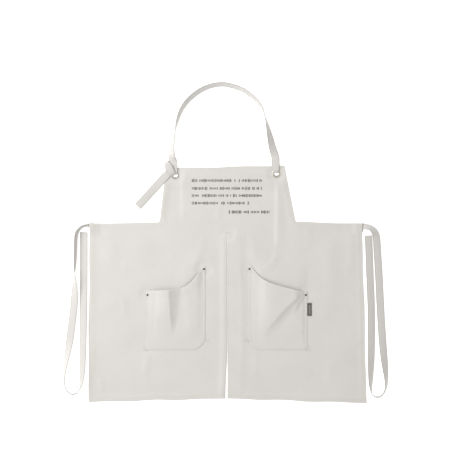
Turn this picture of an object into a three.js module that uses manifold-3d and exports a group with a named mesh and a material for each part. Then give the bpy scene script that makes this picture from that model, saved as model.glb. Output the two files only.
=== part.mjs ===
// A split work apron of natural canvas, lying on its back with its front up.
// Millimetres. X runs to the right as seen from the front, Y from hem to neck, Z up out of the cloth.
// The origin is the middle of the apron's outline, on the surface that it lies on.
// Left and right in the names are as seen from the front.
import * as THREE from 'three';
import { mergeVertices } from 'three/addons/utils/BufferGeometryUtils.js';
import Module from 'manifold-3d';

const wasm = await Module();
wasm.setup();

// ---- Driving dimensions ----
const GAP = 0.3; // between pieces that touch
const CLOTH = 1.2; // one layer of canvas
const HEM = 2.4; // canvas turned over and stitched
const HEM_WIDTH = 12;
const BIB_HEM_WIDTH = 34; // the deep top hem that carries the eyelets
const FACING_WIDTH = 46; // the wide turning beside the slit

const HALF_WIDTH = 446;
const LEFT_TOP_X = -443; // the skirt's upper corners stand a little inside its lower ones
const RIGHT_TOP_X = 436;
const LEFT_HEM_Y = -373;
const SLIT_HEM_Y = -365;
const RIGHT_HEM_Y = -380;
const WAIST_Y = 196; // top edge of the wings
const FOLD_Y = 160; // the line about which the two legs lift, level with the top of the slit
const FOLD_GAP = 1.6; // from that line to each panel
const SLIT_TOP_HALF = 0.8;
const SLIT_HEM_HALF = 3;

const BIB_TOP_LEFT = [-197, 372];
const BIB_TOP_RIGHT = [182, 380];
const BIB_FOOT_LEFT = [-217, 205];
const BIB_FOOT_RIGHT = [217, 205];
const BIB_CORNER = 7; // size of the small curve from bib into wing
const BIB_LIFT = 3.6; // the strap behind the bib's top holds it this far up
const LIFT_FROM_Y = 296;
const LIFT_TO_Y = 336;

const EYELET_LEFT = [-168, 349];
const EYELET_RIGHT = [156, 354];
const EYELET_R = 12.5;
const EYELET_HOLE_R = 6.5;
const EYELET_METAL = 0.8;

const STRAP_WIDTH = 25;
const STRAP = 1.6; // thickness of a strap
const STRAP_BUNCHED_R = 4.5; // the strap gathered to pass through an eyelet

const POCKET_WIDTH = 191;
const POCKET_INNER_X = { left: -70, right: 65 };
const POCKET_BOTTOM_Y = -210;
const POCKET_INNER_TOP_Y = 56;
const POCKET_OUTER_TOP_Y = -17;
const POCKET_INNER_CORNER = 44; // radius of the rounded corner nearest the slit
const POCKET_OUTER_CORNER = 10;
const POCKET_SEAM = 0.05; // share of the width that lies flat at each side
const POCKET_PUFF = 24; // how far the mouth stands open

const RIVET_CAP_R = 3.8;
const RIVET_POST_R = 1.5;
const RIVET_INSET = 5.5;

const TAG_WIDTH = 13;
const TAG_LENGTH = 42;
const TAG_TOP_Y = -59;

// ---- Materials ----
const canvasCloth = () => new THREE.MeshStandardMaterial({ color: '#dfdad2', roughness: 0.95 });
const webbing = () => new THREE.MeshStandardMaterial({ color: '#e4e0d8', roughness: 0.92 });
const nickel = () => new THREE.MeshStandardMaterial({ color: '#b9b6ad', roughness: 0.3, metalness: 1 });
const agedMetal = () => new THREE.MeshStandardMaterial({ color: '#6d655a', roughness: 0.45, metalness: 1 });
const tagCloth = () => new THREE.MeshStandardMaterial({ color: '#77736b', roughness: 0.9 });
const thread = () => new THREE.MeshStandardMaterial({ color: '#d3cdc2', roughness: 0.8 });

// ---- Solids and booleans ----
function toSolid(geometry) {
  const bare = geometry.index ? geometry.clone() : geometry;
  bare.deleteAttribute('normal');
  bare.deleteAttribute('uv');
  const merged = mergeVertices(bare, 1e-4);
  return new wasm.Manifold(new wasm.Mesh({
    numProp: 3,
    vertProperties: new Float32Array(merged.attributes.position.array),
    triVerts: new Uint32Array(merged.index.array),
  }));
}

function toGeometry(solid) {
  const mesh = solid.getMesh();
  const geometry = new THREE.BufferGeometry();
  geometry.setAttribute('position', new THREE.BufferAttribute(mesh.vertProperties, 3));
  geometry.setIndex(new THREE.BufferAttribute(mesh.triVerts, 1));
  geometry.computeVertexNormals();
  return geometry;
}

// A plate with the given outline between two heights.
function plate(outline, low, high, curveSegments = 8) {
  const shape = outline instanceof THREE.Shape
    ? outline
    : new THREE.Shape(outline.map(([x, y]) => new THREE.Vector2(x, y)));
  const geometry = new THREE.ExtrudeGeometry(shape, {
    depth: high - low, bevelEnabled: false, curveSegments,
  });
  geometry.translate(0, 0, low);
  return geometry;
}

function disc([x, y], radius, low, high, sides = 32) {
  const geometry = new THREE.CylinderGeometry(radius, radius, high - low, sides);
  geometry.rotateX(Math.PI / 2);
  geometry.translate(x, y, (low + high) / 2);
  return geometry;
}

// A ring or stud turned about the vertical axis through a point: its profile is [radius, height] pairs.
function turned(profile, [x, y], sides = 24) {
  const points = profile.map(([r, z]) => new THREE.Vector2(r, z));
  const geometry = new THREE.LatheGeometry(points, sides);
  geometry.rotateX(Math.PI / 2);
  geometry.translate(x, y, 0);
  return geometry;
}

// A closed grid of quads: rows of rings, each ring a closed loop of points, capped at both ends.
function loft(rings) {
  const around = rings[0].length;
  const positions = rings.flat(2);
  const index = [];
  for (let i = 0; i + 1 < rings.length; i += 1) {
    for (let k = 0; k < around; k += 1) {
      const a = i * around + k;
      const b = i * around + ((k + 1) % around);
      index.push(a, b, b + around, a, b + around, a + around);
    }
  }
  const last = (rings.length - 1) * around;
  for (let k = 1; k + 1 < around; k += 1) {
    index.push(0, k + 1, k);
    index.push(last, last + k, last + k + 1);
  }
  const geometry = new THREE.BufferGeometry();
  geometry.setAttribute('position', new THREE.Float32BufferAttribute(positions, 3));
  geometry.setIndex(index);
  geometry.computeVertexNormals();
  return geometry;
}

function makeMesh(name, geometry, material) {
  const mesh = new THREE.Mesh(geometry, material);
  mesh.name = name;
  return mesh;
}

// ---- Bib and waist ----
// Height of the cloth's underside: flat, then up on to the strap behind the top of the bib.
function bibHeight(y) {
  const t = THREE.MathUtils.clamp((y - LIFT_FROM_Y) / (LIFT_TO_Y - LIFT_FROM_Y), 0, 1);
  return BIB_LIFT * t * t * (3 - 2 * t);
}

// A bent plate as wide as the apron whose faces lie `low` and `high` above the cloth's underside.
function bentPlate(low, high) {
  const steps = [FOLD_Y - 20];
  for (let y = LIFT_FROM_Y; y <= LIFT_TO_Y; y += 8) {
    steps.push(y);
  }
  steps.push(BIB_TOP_RIGHT[1] + 20);
  const under = steps.map((y) => new THREE.Vector2(y, bibHeight(y) + low));
  const over = steps.map((y) => new THREE.Vector2(y, bibHeight(y) + high)).reverse();
  const geometry = new THREE.ExtrudeGeometry(new THREE.Shape([...under, ...over]), {
    depth: 2 * HALF_WIDTH + 40, bevelEnabled: false,
  });
  geometry.rotateX(Math.PI / 2);
  geometry.rotateZ(Math.PI / 2);
  geometry.translate(-HALF_WIDTH - 20, 0, 0);
  return toSolid(geometry);
}

// The outline of bib and wings, or with an inset the line where their hems end.
function bibOutline(inset = 0, topInset = 0) {
  const low = FOLD_Y + FOLD_GAP - (inset ? 10 : 0);
  const wing = WAIST_Y - inset;
  const [leftTopX, leftTopY] = BIB_TOP_LEFT;
  const [rightTopX, rightTopY] = BIB_TOP_RIGHT;
  const [leftFootX, leftFootY] = BIB_FOOT_LEFT;
  const [rightFootX, rightFootY] = BIB_FOOT_RIGHT;
  const shape = new THREE.Shape();
  shape.moveTo(LEFT_TOP_X + inset, low);
  shape.lineTo(RIGHT_TOP_X - inset + 1, low);
  shape.lineTo(RIGHT_TOP_X - inset, wing);
  shape.lineTo(rightFootX - inset + BIB_CORNER, wing + 5);
  shape.quadraticCurveTo(rightFootX - inset + 5, wing + 6, rightFootX - inset, rightFootY);
  shape.lineTo(rightTopX - inset, rightTopY - topInset);
  shape.lineTo(leftTopX + inset, leftTopY - topInset);
  shape.lineTo(leftFootX + inset, leftFootY);
  shape.quadraticCurveTo(leftFootX + inset - 5, wing + 5, leftFootX + inset - BIB_CORNER, wing + 3);
  shape.lineTo(LEFT_TOP_X + inset, wing);
  shape.closePath();
  return shape;
}

// The end of a tie, sewn flat behind the upper corner of a wing.
const TIE_END = { length: 26, low: 0, high: 1.3, inset: 3 };

function tieEndPlate(side, grow) {
  const edge = side === 'left' ? LEFT_TOP_X : RIGHT_TOP_X;
  const inward = side === 'left' ? 1 : -1;
  const near = edge - inward * grow;
  const far = edge + inward * (TIE_END.length + grow);
  const top = WAIST_Y - TIE_END.inset + grow;
  const bottom = WAIST_Y - TIE_END.inset - STRAP_WIDTH - grow;
  const outline = [[near, bottom], [far, bottom], [far, top], [near, top]];
  if (inward < 0) outline.reverse();
  return plate(outline, TIE_END.low - grow, TIE_END.high + grow);
}

function bibAndWaist() {
  const outline = toSolid(plate(bibOutline(), -1, 20));
  const inset = toSolid(plate(bibOutline(HEM_WIDTH, BIB_HEM_WIDTH), -1, 20));
  const cloth = bentPlate(0, CLOTH).intersect(outline);
  const hems = bentPlate(0, HEM).intersect(outline).subtract(inset);
  let solid = cloth.add(hems);
  for (const centre of [EYELET_LEFT, EYELET_RIGHT]) {
    solid = solid.subtract(toSolid(disc(centre, EYELET_HOLE_R + EYELET_METAL + GAP, -1, 20)));
  }
  for (const side of ['left', 'right']) {
    solid = solid.subtract(toSolid(tieEndPlate(side, GAP)));
  }
  return toGeometry(solid);
}

// ---- Eyelets ----
const BIB_FRONT = BIB_LIFT + HEM;

// Front half: a rolled flange with the barrel that passes through the hem.
function eyeletFront(centre) {
  const flange = BIB_FRONT + GAP;
  const barrel = EYELET_HOLE_R + EYELET_METAL;
  const foot = BIB_LIFT - GAP;
  return turned([
    [EYELET_HOLE_R, foot], [barrel, foot], [barrel, flange], [EYELET_R, flange],
    [EYELET_R, flange + 0.5], [EYELET_R - 1.5, flange + 1.2], [EYELET_HOLE_R + 1.5, flange + 1.2],
    [EYELET_HOLE_R, flange + 0.4], [EYELET_HOLE_R, foot],
  ], centre, 32);
}

// Back half: the washer that the barrel is spread over.
function eyeletWasher(centre) {
  const top = BIB_LIFT - GAP;
  const bottom = top - EYELET_METAL;
  const inner = EYELET_HOLE_R + EYELET_METAL + GAP;
  return turned([
    [inner, bottom], [EYELET_R - 0.5, bottom], [EYELET_R, top], [inner, top], [inner, bottom],
  ], centre, 32);
}

// ---- Legs ----
function legOutline(side, inset = 0, slitInset = 0) {
  const left = side === 'left';
  const way = left ? -1 : 1;
  const top = FOLD_Y - FOLD_GAP + (inset ? 10 : 0);
  const outerTop = (left ? LEFT_TOP_X : RIGHT_TOP_X + 1) - way * inset;
  const outerHem = way * (HALF_WIDTH - inset);
  const hemY = (left ? LEFT_HEM_Y : RIGHT_HEM_Y) + 1.5 * inset;
  const outline = [
    [way * (SLIT_TOP_HALF + slitInset), top],
    [way * (SLIT_HEM_HALF + slitInset), SLIT_HEM_Y + 1.5 * inset],
    [outerHem, hemY],
    [outerTop, top],
  ];
  return left ? outline.reverse() : outline;
}

const POCKETS = {
  left: { way: -1, inner: POCKET_INNER_X.left },
  right: { way: 1, inner: POCKET_INNER_X.right },
};

function rivetPlaces(side) {
  const { way, inner } = POCKETS[side];
  return {
    inner: [inner + way * RIVET_INSET, POCKET_INNER_TOP_Y - 1.2 * RIVET_INSET],
    outer: [inner + way * (POCKET_WIDTH - RIVET_INSET), POCKET_OUTER_TOP_Y - 3 * RIVET_INSET],
  };
}

const BURR = { radius: 3.5, thickness: 0.5 };

function legPanel(side) {
  const slitInset = side === 'right' ? FACING_WIDTH : HEM_WIDTH;
  const hemField = toSolid(plate(legOutline(side, HEM_WIDTH, slitInset), CLOTH, HEM + 1));
  let solid = toSolid(plate(legOutline(side), 0, HEM)).subtract(hemField);
  for (const place of Object.values(rivetPlaces(side))) {
    solid = solid.subtract(toSolid(disc(place, RIVET_POST_R + GAP, -1, 5, 16)));
    solid = solid.subtract(toSolid(disc(place, BURR.radius + GAP, -1, BURR.thickness + GAP, 16)));
  }
  return toGeometry(solid);
}

// ---- Pockets ----
// Height of the mouth's edge at a share of the width, counted from the slit side outwards.
const MOUTH_SAG_AT = 0.25;
const mouth = new THREE.QuadraticBezierCurve(
  new THREE.Vector2(0, POCKET_INNER_TOP_Y),
  new THREE.Vector2(MOUTH_SAG_AT, POCKET_OUTER_TOP_Y - 2),
  new THREE.Vector2(1, POCKET_OUTER_TOP_Y),
);

function mouthY(share) {
  const spread = 1 - 2 * MOUTH_SAG_AT;
  const t = (Math.sqrt(MOUTH_SAG_AT ** 2 + spread * share) - MOUTH_SAG_AT) / spread;
  return mouth.getPoint(t).y;
}

function pocketFoot(share) {
  const fromInner = share * POCKET_WIDTH;
  const fromOuter = POCKET_WIDTH - fromInner;
  const corner = (radius, run) => (
    run < radius ? radius - Math.sqrt(radius * radius - (radius - run) ** 2) : 0
  );
  return POCKET_BOTTOM_Y
    + corner(POCKET_INNER_CORNER, fromInner)
    + corner(POCKET_OUTER_CORNER, fromOuter);
}

function pocketRise(share, climb) {
  const across = THREE.MathUtils.clamp((share - POCKET_SEAM) / (1 - 2 * POCKET_SEAM), 0, 1);
  const up = THREE.MathUtils.smoothstep(climb, 0.04, 0.75);
  return POCKET_PUFF * Math.sin(Math.PI * across) * up;
}

// The patch as a shell of even thickness: open above, and flat on the leg along its three seams.
function pocket(side) {
  const { way, inner } = POCKETS[side];
  const columns = 20;
  const rows = 14;
  const seat = CLOTH + GAP;
  const shares = [0];
  for (let i = 0; i <= columns; i += 1) {
    shares.push(POCKET_SEAM + (i / columns) * (1 - 2 * POCKET_SEAM));
  }
  shares.push(1);
  const rings = shares.map((share) => {
    const x = inner + way * share * POCKET_WIDTH;
    const under = [];
    const over = [];
    for (let j = 0; j <= rows; j += 1) {
      const climb = j / rows;
      const y = THREE.MathUtils.lerp(pocketFoot(share), mouthY(share), climb);
      const z = seat + pocketRise(share, climb);
      under.push([x, y, z]);
      over.push([x, y, z + CLOTH]);
    }
    return [...under, ...over.reverse()];
  });
  return loft(way < 0 ? rings.reverse() : rings);
}

// ---- Rivets ----
function rivetCap(place) {
  const seat = CLOTH + GAP + CLOTH + GAP;
  return turned([
    [0, 0], [RIVET_POST_R, 0], [RIVET_POST_R, seat], [RIVET_CAP_R, seat],
    [RIVET_CAP_R * 0.85, seat + 1.1], [RIVET_CAP_R * 0.45, seat + 1.6], [0, seat + 1.7],
  ], place, 16);
}

function rivetBurr(place) {
  const inner = RIVET_POST_R + GAP;
  return turned([
    [inner, 0], [BURR.radius, 0], [BURR.radius, BURR.thickness], [inner, BURR.thickness], [inner, 0],
  ], place, 16);
}

function pocketWithHoles(side) {
  let solid = toSolid(pocket(side));
  for (const place of Object.values(rivetPlaces(side))) {
    solid = solid.subtract(toSolid(disc(place, RIVET_POST_R + GAP, -1, 10, 16)));
  }
  return toGeometry(solid);
}

// ---- Straps ----
// A flat strap laid along a route of [x, y, roll, lift]. Roll is 0 lying flat and 90 standing on an
// edge. Lift is the height of what the strap lies on.
function strap(route, steps) {
  const path = new THREE.CatmullRomCurve3(route.map(([x, y, , lift = 0]) => new THREE.Vector3(x, y, lift)));
  const roll = new THREE.CatmullRomCurve3(route.map(([, , angle]) => new THREE.Vector3(angle, 0, 0)));
  const rings = [];
  for (let i = 0; i <= steps; i += 1) {
    const t = i / steps;
    const { x, y, z: lift } = path.getPoint(t);
    const angle = THREE.MathUtils.degToRad(roll.getPoint(t).x);
    const ahead = path.getTangent(t);
    const across = new THREE.Vector2(ahead.y, -ahead.x).normalize();
    const halfWide = STRAP_WIDTH / 2;
    const halfThick = STRAP / 2;
    const sin = Math.sin(angle);
    const cos = Math.cos(angle);
    const z = lift + halfWide * Math.abs(sin) + halfThick * Math.abs(cos) + 0.02;
    const corners = [[1, 1], [1, -1], [-1, -1], [-1, 1]].map(([a, b]) => {
      const side = a * halfWide * cos - b * halfThick * sin;
      return [x + side * across.x, y + side * across.y, z + a * halfWide * sin + b * halfThick * cos];
    });
    rings.push(corners);
  }
  return loft(rings);
}

// From just above the knot, over the arch, and down to the anchor.
const NECK_ROUTE = [
  [-178, 408, 24, 3], [-177, 420, 46], [-176, 444, 60], [-169, 480, 80], [-161, 520, 104],
  [-146, 560, 116], [-118, 596, 122], [-72, 627, 120], [-18, 639, 118], [38, 626, 118],
  [76, 602, 114], [106, 570, 104], [120, 534, 86], [129, 500, 62], [137, 466, 38], [144, 436, 20],
  [150, 418, 8, 1], [152.5, 408, 0, 3],
];
const TAIL_ROUTE = [
  [-203.5, 340, 0, 6.05], [-220, 322, 0, 5], [-236, 304.5, 4, 2.2], [-252, 287, 6, 0.3],
  [-270, 267.5, 5], [-287, 249, 4],
];
const LEFT_TIE_ROUTE = [
  [-447, 187, 92], [-456, 186, 100], [-466, 182, 106], [-476, 173, 104], [-482, 160, 104],
  [-484, 140, 106], [-485, 100, 110], [-487, 50, 124], [-488, -10, 144], [-490, -60, 152],
  [-496, -114, 154], [-504, -178, 152], [-513, -236, 130], [-520, -282, 110], [-521, -312, 104],
  [-515, -336, 102], [-498, -350, 102], [-481, -345, 96], [-470, -328, 76], [-465, -300, 54],
  [-463.5, -260, 36], [-462, -180, 24], [-460, -60, 16], [-459.5, 60, 14], [-459.5, 168, 12],
];
const RIGHT_TIE_ROUTE = [
  [440.5, 187, 88], [449, 185, 74], [459, 180, 50], [470, 168, 28], [476, 150, 14], [479, 110, 10],
  [484.5, 20, 8], [489.5, -82, 8], [495.5, -178, 12], [501, -242, 26], [506, -296, 54],
  [505, -330, 70], [494, -352, 74], [477, -359, 76], [462, -350, 92], [457, -325, 116],
  [457.5, -285, 138], [459.5, -210, 158], [459.5, -82, 166], [456, 14, 168], [450.5, 157, 168],
];

const KNOT_SEAT = BIB_FRONT + GAP + 1.2 + GAP;

// The gathered strap through an eyelet, with the run behind the bib up past its top edge.
function throughEyelet([x, y], endY, topZ) {
  const stem = toSolid(disc([x, y], STRAP_BUNCHED_R, 0.1, topZ, 16));
  const half = STRAP_WIDTH / 2;
  const back = toSolid(plate([
    [x - STRAP_BUNCHED_R, y - STRAP_BUNCHED_R], [x + STRAP_BUNCHED_R, y - STRAP_BUNCHED_R],
    [x + half - 1, y + 18], [x + half - 1, endY], [x - half + 1, endY], [x - half + 1, y + 18],
  ], 0.1, 0.1 + STRAP));
  return stem.add(back);
}

// The strap's end at the right eyelet: down through it, up behind, and stitched to itself.
function strapAnchor() {
  const [x, y] = EYELET_RIGHT;
  const endY = 393;
  const half = STRAP_WIDTH / 2;
  const front = toSolid(plate([
    [x - STRAP_BUNCHED_R, y - STRAP_BUNCHED_R], [x + STRAP_BUNCHED_R, y - STRAP_BUNCHED_R],
    [x + half - 4, y + 12], [x + half - 4, endY], [x - half - 4, endY], [x - half - 4, y + 12],
  ], KNOT_SEAT, KNOT_SEAT + STRAP));
  return toGeometry(front.add(throughEyelet(EYELET_RIGHT, endY, KNOT_SEAT + 0.5)));
}

// The half hitch on the left eyelet: a broad band slanting up and out from the hole.
function strapKnot() {
  const [x, y] = EYELET_LEFT;
  const shape = new THREE.Shape();
  shape.moveTo(x + 5, y - 6);
  shape.lineTo(x + 6, y + 8);
  shape.lineTo(x - 8, y + 38);
  shape.quadraticCurveTo(x - 17, y + 46, x - 24, y + 39);
  shape.lineTo(x - 32, y + 18);
  shape.quadraticCurveTo(x - 35, y + 2, x - 24, y - 5);
  shape.closePath();
  const band = new THREE.ExtrudeGeometry(shape, {
    depth: 5, bevelEnabled: true, bevelThickness: 1.5, bevelSize: 1.5, bevelSegments: 2, bevelOffset: -1.5,
    curveSegments: 6,
  });
  band.translate(0, 0, KNOT_SEAT + 1.5);
  return toGeometry(toSolid(band).add(throughEyelet(EYELET_LEFT, 388, KNOT_SEAT + 3)));
}

// ---- Small pieces ----
function wovenTag() {
  const x = POCKET_INNER_X.right + POCKET_WIDTH + GAP;
  const low = CLOTH + GAP;
  return plate([
    [x, TAG_TOP_Y - TAG_LENGTH], [x + TAG_WIDTH, TAG_TOP_Y - TAG_LENGTH],
    [x + TAG_WIDTH, TAG_TOP_Y], [x, TAG_TOP_Y],
  ], low, low + 0.9);
}

// A close row of stitches that stops the slit from tearing.
function slitBartack() {
  const low = CLOTH + GAP;
  const geometry = new THREE.CapsuleGeometry(0.8, 12, 4, 8);
  geometry.rotateZ(Math.PI / 2);
  geometry.translate(0, FOLD_Y + FOLD_GAP + 3, low + 0.8);
  return geometry;
}

// ---- Assembly ----
const apron = new THREE.Group();

const body = new THREE.Group();
body.add(makeMesh('bib_and_waist', bibAndWaist(), canvasCloth()));
for (const [side, centre] of [['left', EYELET_LEFT], ['right', EYELET_RIGHT]]) {
  body.add(makeMesh(`${side}_eyelet`, eyeletFront(centre), nickel()));
  body.add(makeMesh(`${side}_eyelet_washer`, eyeletWasher(centre), nickel()));
  body.add(makeMesh(`${side}_tie_end`, tieEndPlate(side, 0), webbing()));
}
body.add(makeMesh('strap_knot', strapKnot(), webbing()));
body.add(makeMesh('strap_anchor', strapAnchor(), webbing()));
body.add(makeMesh('slit_bartack', slitBartack(), thread()));
apron.add(body);

for (const side of ['left', 'right']) {
  const leg = new THREE.Group();
  leg.add(makeMesh(`${side}_leg_panel`, legPanel(side), canvasCloth()));
  leg.add(makeMesh(`${side}_pocket`, pocketWithHoles(side), canvasCloth()));
  for (const [corner, place] of Object.entries(rivetPlaces(side))) {
    leg.add(makeMesh(`${side}_${corner}_rivet`, rivetCap(place), agedMetal()));
    leg.add(makeMesh(`${side}_${corner}_burr`, rivetBurr(place), agedMetal()));
  }
  if (side === 'right') leg.add(makeMesh('woven_tag', wovenTag(), tagCloth()));
  apron.add(leg);
}

const straps = new THREE.Group();
straps.add(makeMesh('neck_strap', strap(NECK_ROUTE, 68), webbing()));
straps.add(makeMesh('strap_tail', strap(TAIL_ROUTE, 16), webbing()));
straps.add(makeMesh('left_tie', strap(LEFT_TIE_ROUTE, 78), webbing()));
straps.add(makeMesh('right_tie', strap(RIGHT_TIE_ROUTE, 78), webbing()));
apron.add(straps);

export default apron;
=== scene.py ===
# %% [markdown]
# # A split work apron, lying flat
# The apron is undyed cotton canvas: a bib, a waist with two wings, and a skirt split into two legs.
# It lies on its back on a white table. The fixed frame gives every place and every moving body, and
# this lesson builds the cloth, the straps, the metal and the thread around it, in metres.

# %% Load the frame
import math
import bpy
import numpy as np
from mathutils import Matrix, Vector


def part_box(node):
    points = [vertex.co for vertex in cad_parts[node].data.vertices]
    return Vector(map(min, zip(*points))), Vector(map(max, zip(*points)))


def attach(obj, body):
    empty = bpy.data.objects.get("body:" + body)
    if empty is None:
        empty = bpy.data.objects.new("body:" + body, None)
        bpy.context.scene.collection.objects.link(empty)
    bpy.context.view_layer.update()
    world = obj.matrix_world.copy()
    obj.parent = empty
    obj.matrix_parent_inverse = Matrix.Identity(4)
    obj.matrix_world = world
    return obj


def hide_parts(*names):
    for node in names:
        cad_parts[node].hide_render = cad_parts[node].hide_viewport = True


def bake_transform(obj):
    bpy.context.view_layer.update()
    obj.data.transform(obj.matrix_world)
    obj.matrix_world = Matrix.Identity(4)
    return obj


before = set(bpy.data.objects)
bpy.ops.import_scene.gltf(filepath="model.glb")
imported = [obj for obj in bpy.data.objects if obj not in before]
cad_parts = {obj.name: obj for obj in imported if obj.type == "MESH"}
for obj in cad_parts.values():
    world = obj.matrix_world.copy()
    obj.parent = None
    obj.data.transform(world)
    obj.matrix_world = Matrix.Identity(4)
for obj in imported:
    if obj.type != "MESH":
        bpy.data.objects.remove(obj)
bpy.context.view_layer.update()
MM = 0.001


def middle(node):
    low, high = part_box(node)
    return (np.array(low) + np.array(high)) / 2


# %% [markdown]
# ## Camera
# The apron is seen from straight above, lying down, so that nothing sags. A long lens from far away
# keeps the hem and the neck strap at the same scale. The field is a little wider than the apron.

# %% Camera
FIELD_WIDTH = 1.472
FIELD_CENTRE = (0.008, 0.174)
CAMERA_HEIGHT = 4.0
SENSOR_WIDTH = 36

camera_data = bpy.data.cameras.new("overhead")
camera_data.sensor_width = SENSOR_WIDTH
camera_data.lens = SENSOR_WIDTH * CAMERA_HEIGHT / FIELD_WIDTH
camera = bpy.data.objects.new("overhead", camera_data)
camera.location = (*FIELD_CENTRE, CAMERA_HEIGHT)
bpy.context.collection.objects.link(camera)
bpy.context.scene.camera = camera
print("lens", round(camera_data.lens, 1), "mm")

# %% [markdown]
# ## Light
# White cloth on a white table needs an even light, and just enough direction to show a fold. One wide
# panel stands at the upper left, a weaker one fills from the lower right, and the sky is a soft warm
# white, which is also what the metal mirrors. The table glows, so shadows on it stay faint.

# %% Light
scene = bpy.context.scene
scene.view_settings.view_transform = "Standard"

SKY_COLOUR = (1, 0.993, 0.975, 1)
SKY_STRENGTH = 0.55

world = bpy.data.worlds.new("studio")
world.use_nodes = True
sky = world.node_tree.nodes["Background"]
sky.inputs["Color"].default_value = SKY_COLOUR
sky.inputs["Strength"].default_value = SKY_STRENGTH
scene.world = world


def light_panel(name, place, aim, size, watts, colour):
    """A square area light that faces a point."""
    data = bpy.data.lights.new(name, "AREA")
    data.size = size
    data.energy = watts
    data.color = colour
    lamp = bpy.data.objects.new(name, data)
    lamp.location = place
    away = np.array(place) - np.array(aim)
    lamp.rotation_euler = (math.atan2(math.hypot(*away[:2]), away[2]), 0,
                           math.atan2(away[1], away[0]) + math.pi / 2)
    bpy.context.collection.objects.link(lamp)


AIM = (0, 0.1, 0)
light_panel("key_panel", (-2.2, 1.15, 2.1), AIM, size=2.0, watts=69, colour=(1, 0.993, 0.988))
light_panel("fill_panel", (1.8, -1.2, 2.4), AIM, size=2.2, watts=6, colour=(1, 0.98, 0.94))
print("lights made")

# %% [markdown]
# ## Shader maths
# A material is an expression on sockets. This small class wraps one socket, so that `mask + dash` or
# `height * 0.2` adds the Math nodes by itself. Any other node comes from the one method `node`.

# %% Shader helper
class Value:
    """A socket that can be added, multiplied and compared like a number."""

    def __init__(self, shader, socket):
        self.shader = shader
        self.socket = socket

    def _math(self, operation, *others):
        return self.shader.node("ShaderNodeMath", {"operation": operation}, [self, *others])

    def __add__(self, other):
        return self._math("ADD", other)

    __radd__ = __add__

    def __sub__(self, other):
        return self._math("SUBTRACT", other)

    def __mul__(self, other):
        return self._math("MULTIPLY", other)

    __rmul__ = __mul__

    def __truediv__(self, other):
        return self._math("DIVIDE", other)

    def __gt__(self, other):
        return self._math("GREATER_THAN", other)

    def __lt__(self, other):
        return self._math("LESS_THAN", other)

    def abs(self):
        return self._math("ABSOLUTE")

    def sin(self):
        return self._math("SINE")

    def floor(self):
        return self._math("FLOOR")

    def fract(self):
        return self._math("FRACT")

    def maximum(self, other):
        return self._math("MAXIMUM", other)

    def ramp(self, low, high):
        """0 below low, 1 above high, and smooth between."""
        settings = {"interpolation_type": "SMOOTHSTEP"}
        return self.shader.node("ShaderNodeMapRange", settings, [self, low, high])


class Shader:
    """One material: its nodes are made and linked by `node`."""

    def __init__(self, name):
        self.material = bpy.data.materials.new(name)
        self.material.use_nodes = True
        self.tree = self.material.node_tree
        self.tree.nodes.clear()
        self.surface = self.tree.nodes.new("ShaderNodeBsdfPrincipled")
        output = self.tree.nodes.new("ShaderNodeOutputMaterial")
        self.tree.links.new(self.surface.outputs[0], output.inputs["Surface"])

    def node(self, kind, settings=None, inputs=(), output=0):
        """Adds a node, sets its properties, then its inputs by place or name. Returns one output."""
        made = self.tree.nodes.new(kind)
        for key, value in (settings or {}).items():
            setattr(made, key, value)
        pairs = inputs.items() if isinstance(inputs, dict) else enumerate(inputs)
        for key, value in pairs:
            if isinstance(value, Value):
                self.tree.links.new(value.socket, made.inputs[key])
            else:
                made.inputs[key].default_value = value
        return Value(self, made.outputs[output])

    def object_place(self):
        """The x, y and z of the surface in the object's own metres."""
        place = self.node("ShaderNodeTexCoord", output="Object")
        return place, [self.node("ShaderNodeSeparateXYZ", inputs=[place], output=k) for k in "XYZ"]

    def cloth_place(self):
        """Metres along and across the cloth, from the piece's own UV map."""
        place = self.node("ShaderNodeUVMap", {"uv_map": "cloth"}, output="UV")
        return place, [self.node("ShaderNodeSeparateXYZ", inputs=[place], output=k) for k in "XY"]

    def noise(self, place, scale, detail=3.0, roughness=0.5):
        inputs = {"Vector": place, "Scale": scale, "Detail": detail, "Roughness": roughness}
        return self.node("ShaderNodeTexNoise", inputs=inputs)

    def mix(self, factor, first, second):
        """A colour between two others."""
        settings = {"data_type": "RGBA"}
        return self.node("ShaderNodeMix", settings, {0: factor, 6: first, 7: second}, output=2)

    def set(self, **inputs):
        """Feeds the surface. Underscores in a name stand for the spaces in a socket's name."""
        for name, value in inputs.items():
            socket = self.surface.inputs[name.replace("_", " ")]
            if isinstance(value, Value):
                self.tree.links.new(value.socket, socket)
            else:
                socket.default_value = value
        return self.material

    def bump(self, height, distance, strength=1.0):
        return self.node("ShaderNodeBump", inputs={"Height": height, "Distance": distance,
                                                   "Strength": strength}, output="Normal")


# %% Table
TABLE_HALF = 30.0
TABLE_TOP = -0.4 * MM
TABLE_GREY = 0.86
TABLE_GLOW = 0.62


def table_white():
    shader = Shader("table white")
    return shader.set(Base_Color=(TABLE_GREY, TABLE_GREY, TABLE_GREY, 1), Roughness=0.9,
                      Emission_Color=(1, 1, 1, 1), Emission_Strength=TABLE_GLOW)


table_mesh = bpy.data.meshes.new("table")
table_corners = [(x * TABLE_HALF, y * TABLE_HALF, TABLE_TOP) for x, y in ((-1, -1), (1, -1), (1, 1), (-1, 1))]
table_mesh.from_pydata(table_corners, [], [(0, 1, 2, 3)])
table_mesh.materials.append(table_white())
table = bpy.data.objects.new("table", table_mesh)
bpy.context.collection.objects.link(table)
print("table made,", 2 * TABLE_HALF, "m wide")

# %% [markdown]
# ## How a strap is laid
# A strap is a flat tube of folded canvas. Its route is a list of places with a roll, which is 0 where
# it lies flat and 90 where it stands on one edge, as webbing does when it turns a corner on a table.
# A ring of points is swept along the route. Sweeping points in code keeps the width true in a twist,
# where a bevelled curve would pinch.

# %% Curves through points
def smooth(low, high, x):
    """0 below low, 1 above high, and an even S between."""
    t = np.clip((np.asarray(x, float) - low) / (high - low), 0, 1)
    return t * t * (3 - 2 * t)


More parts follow.
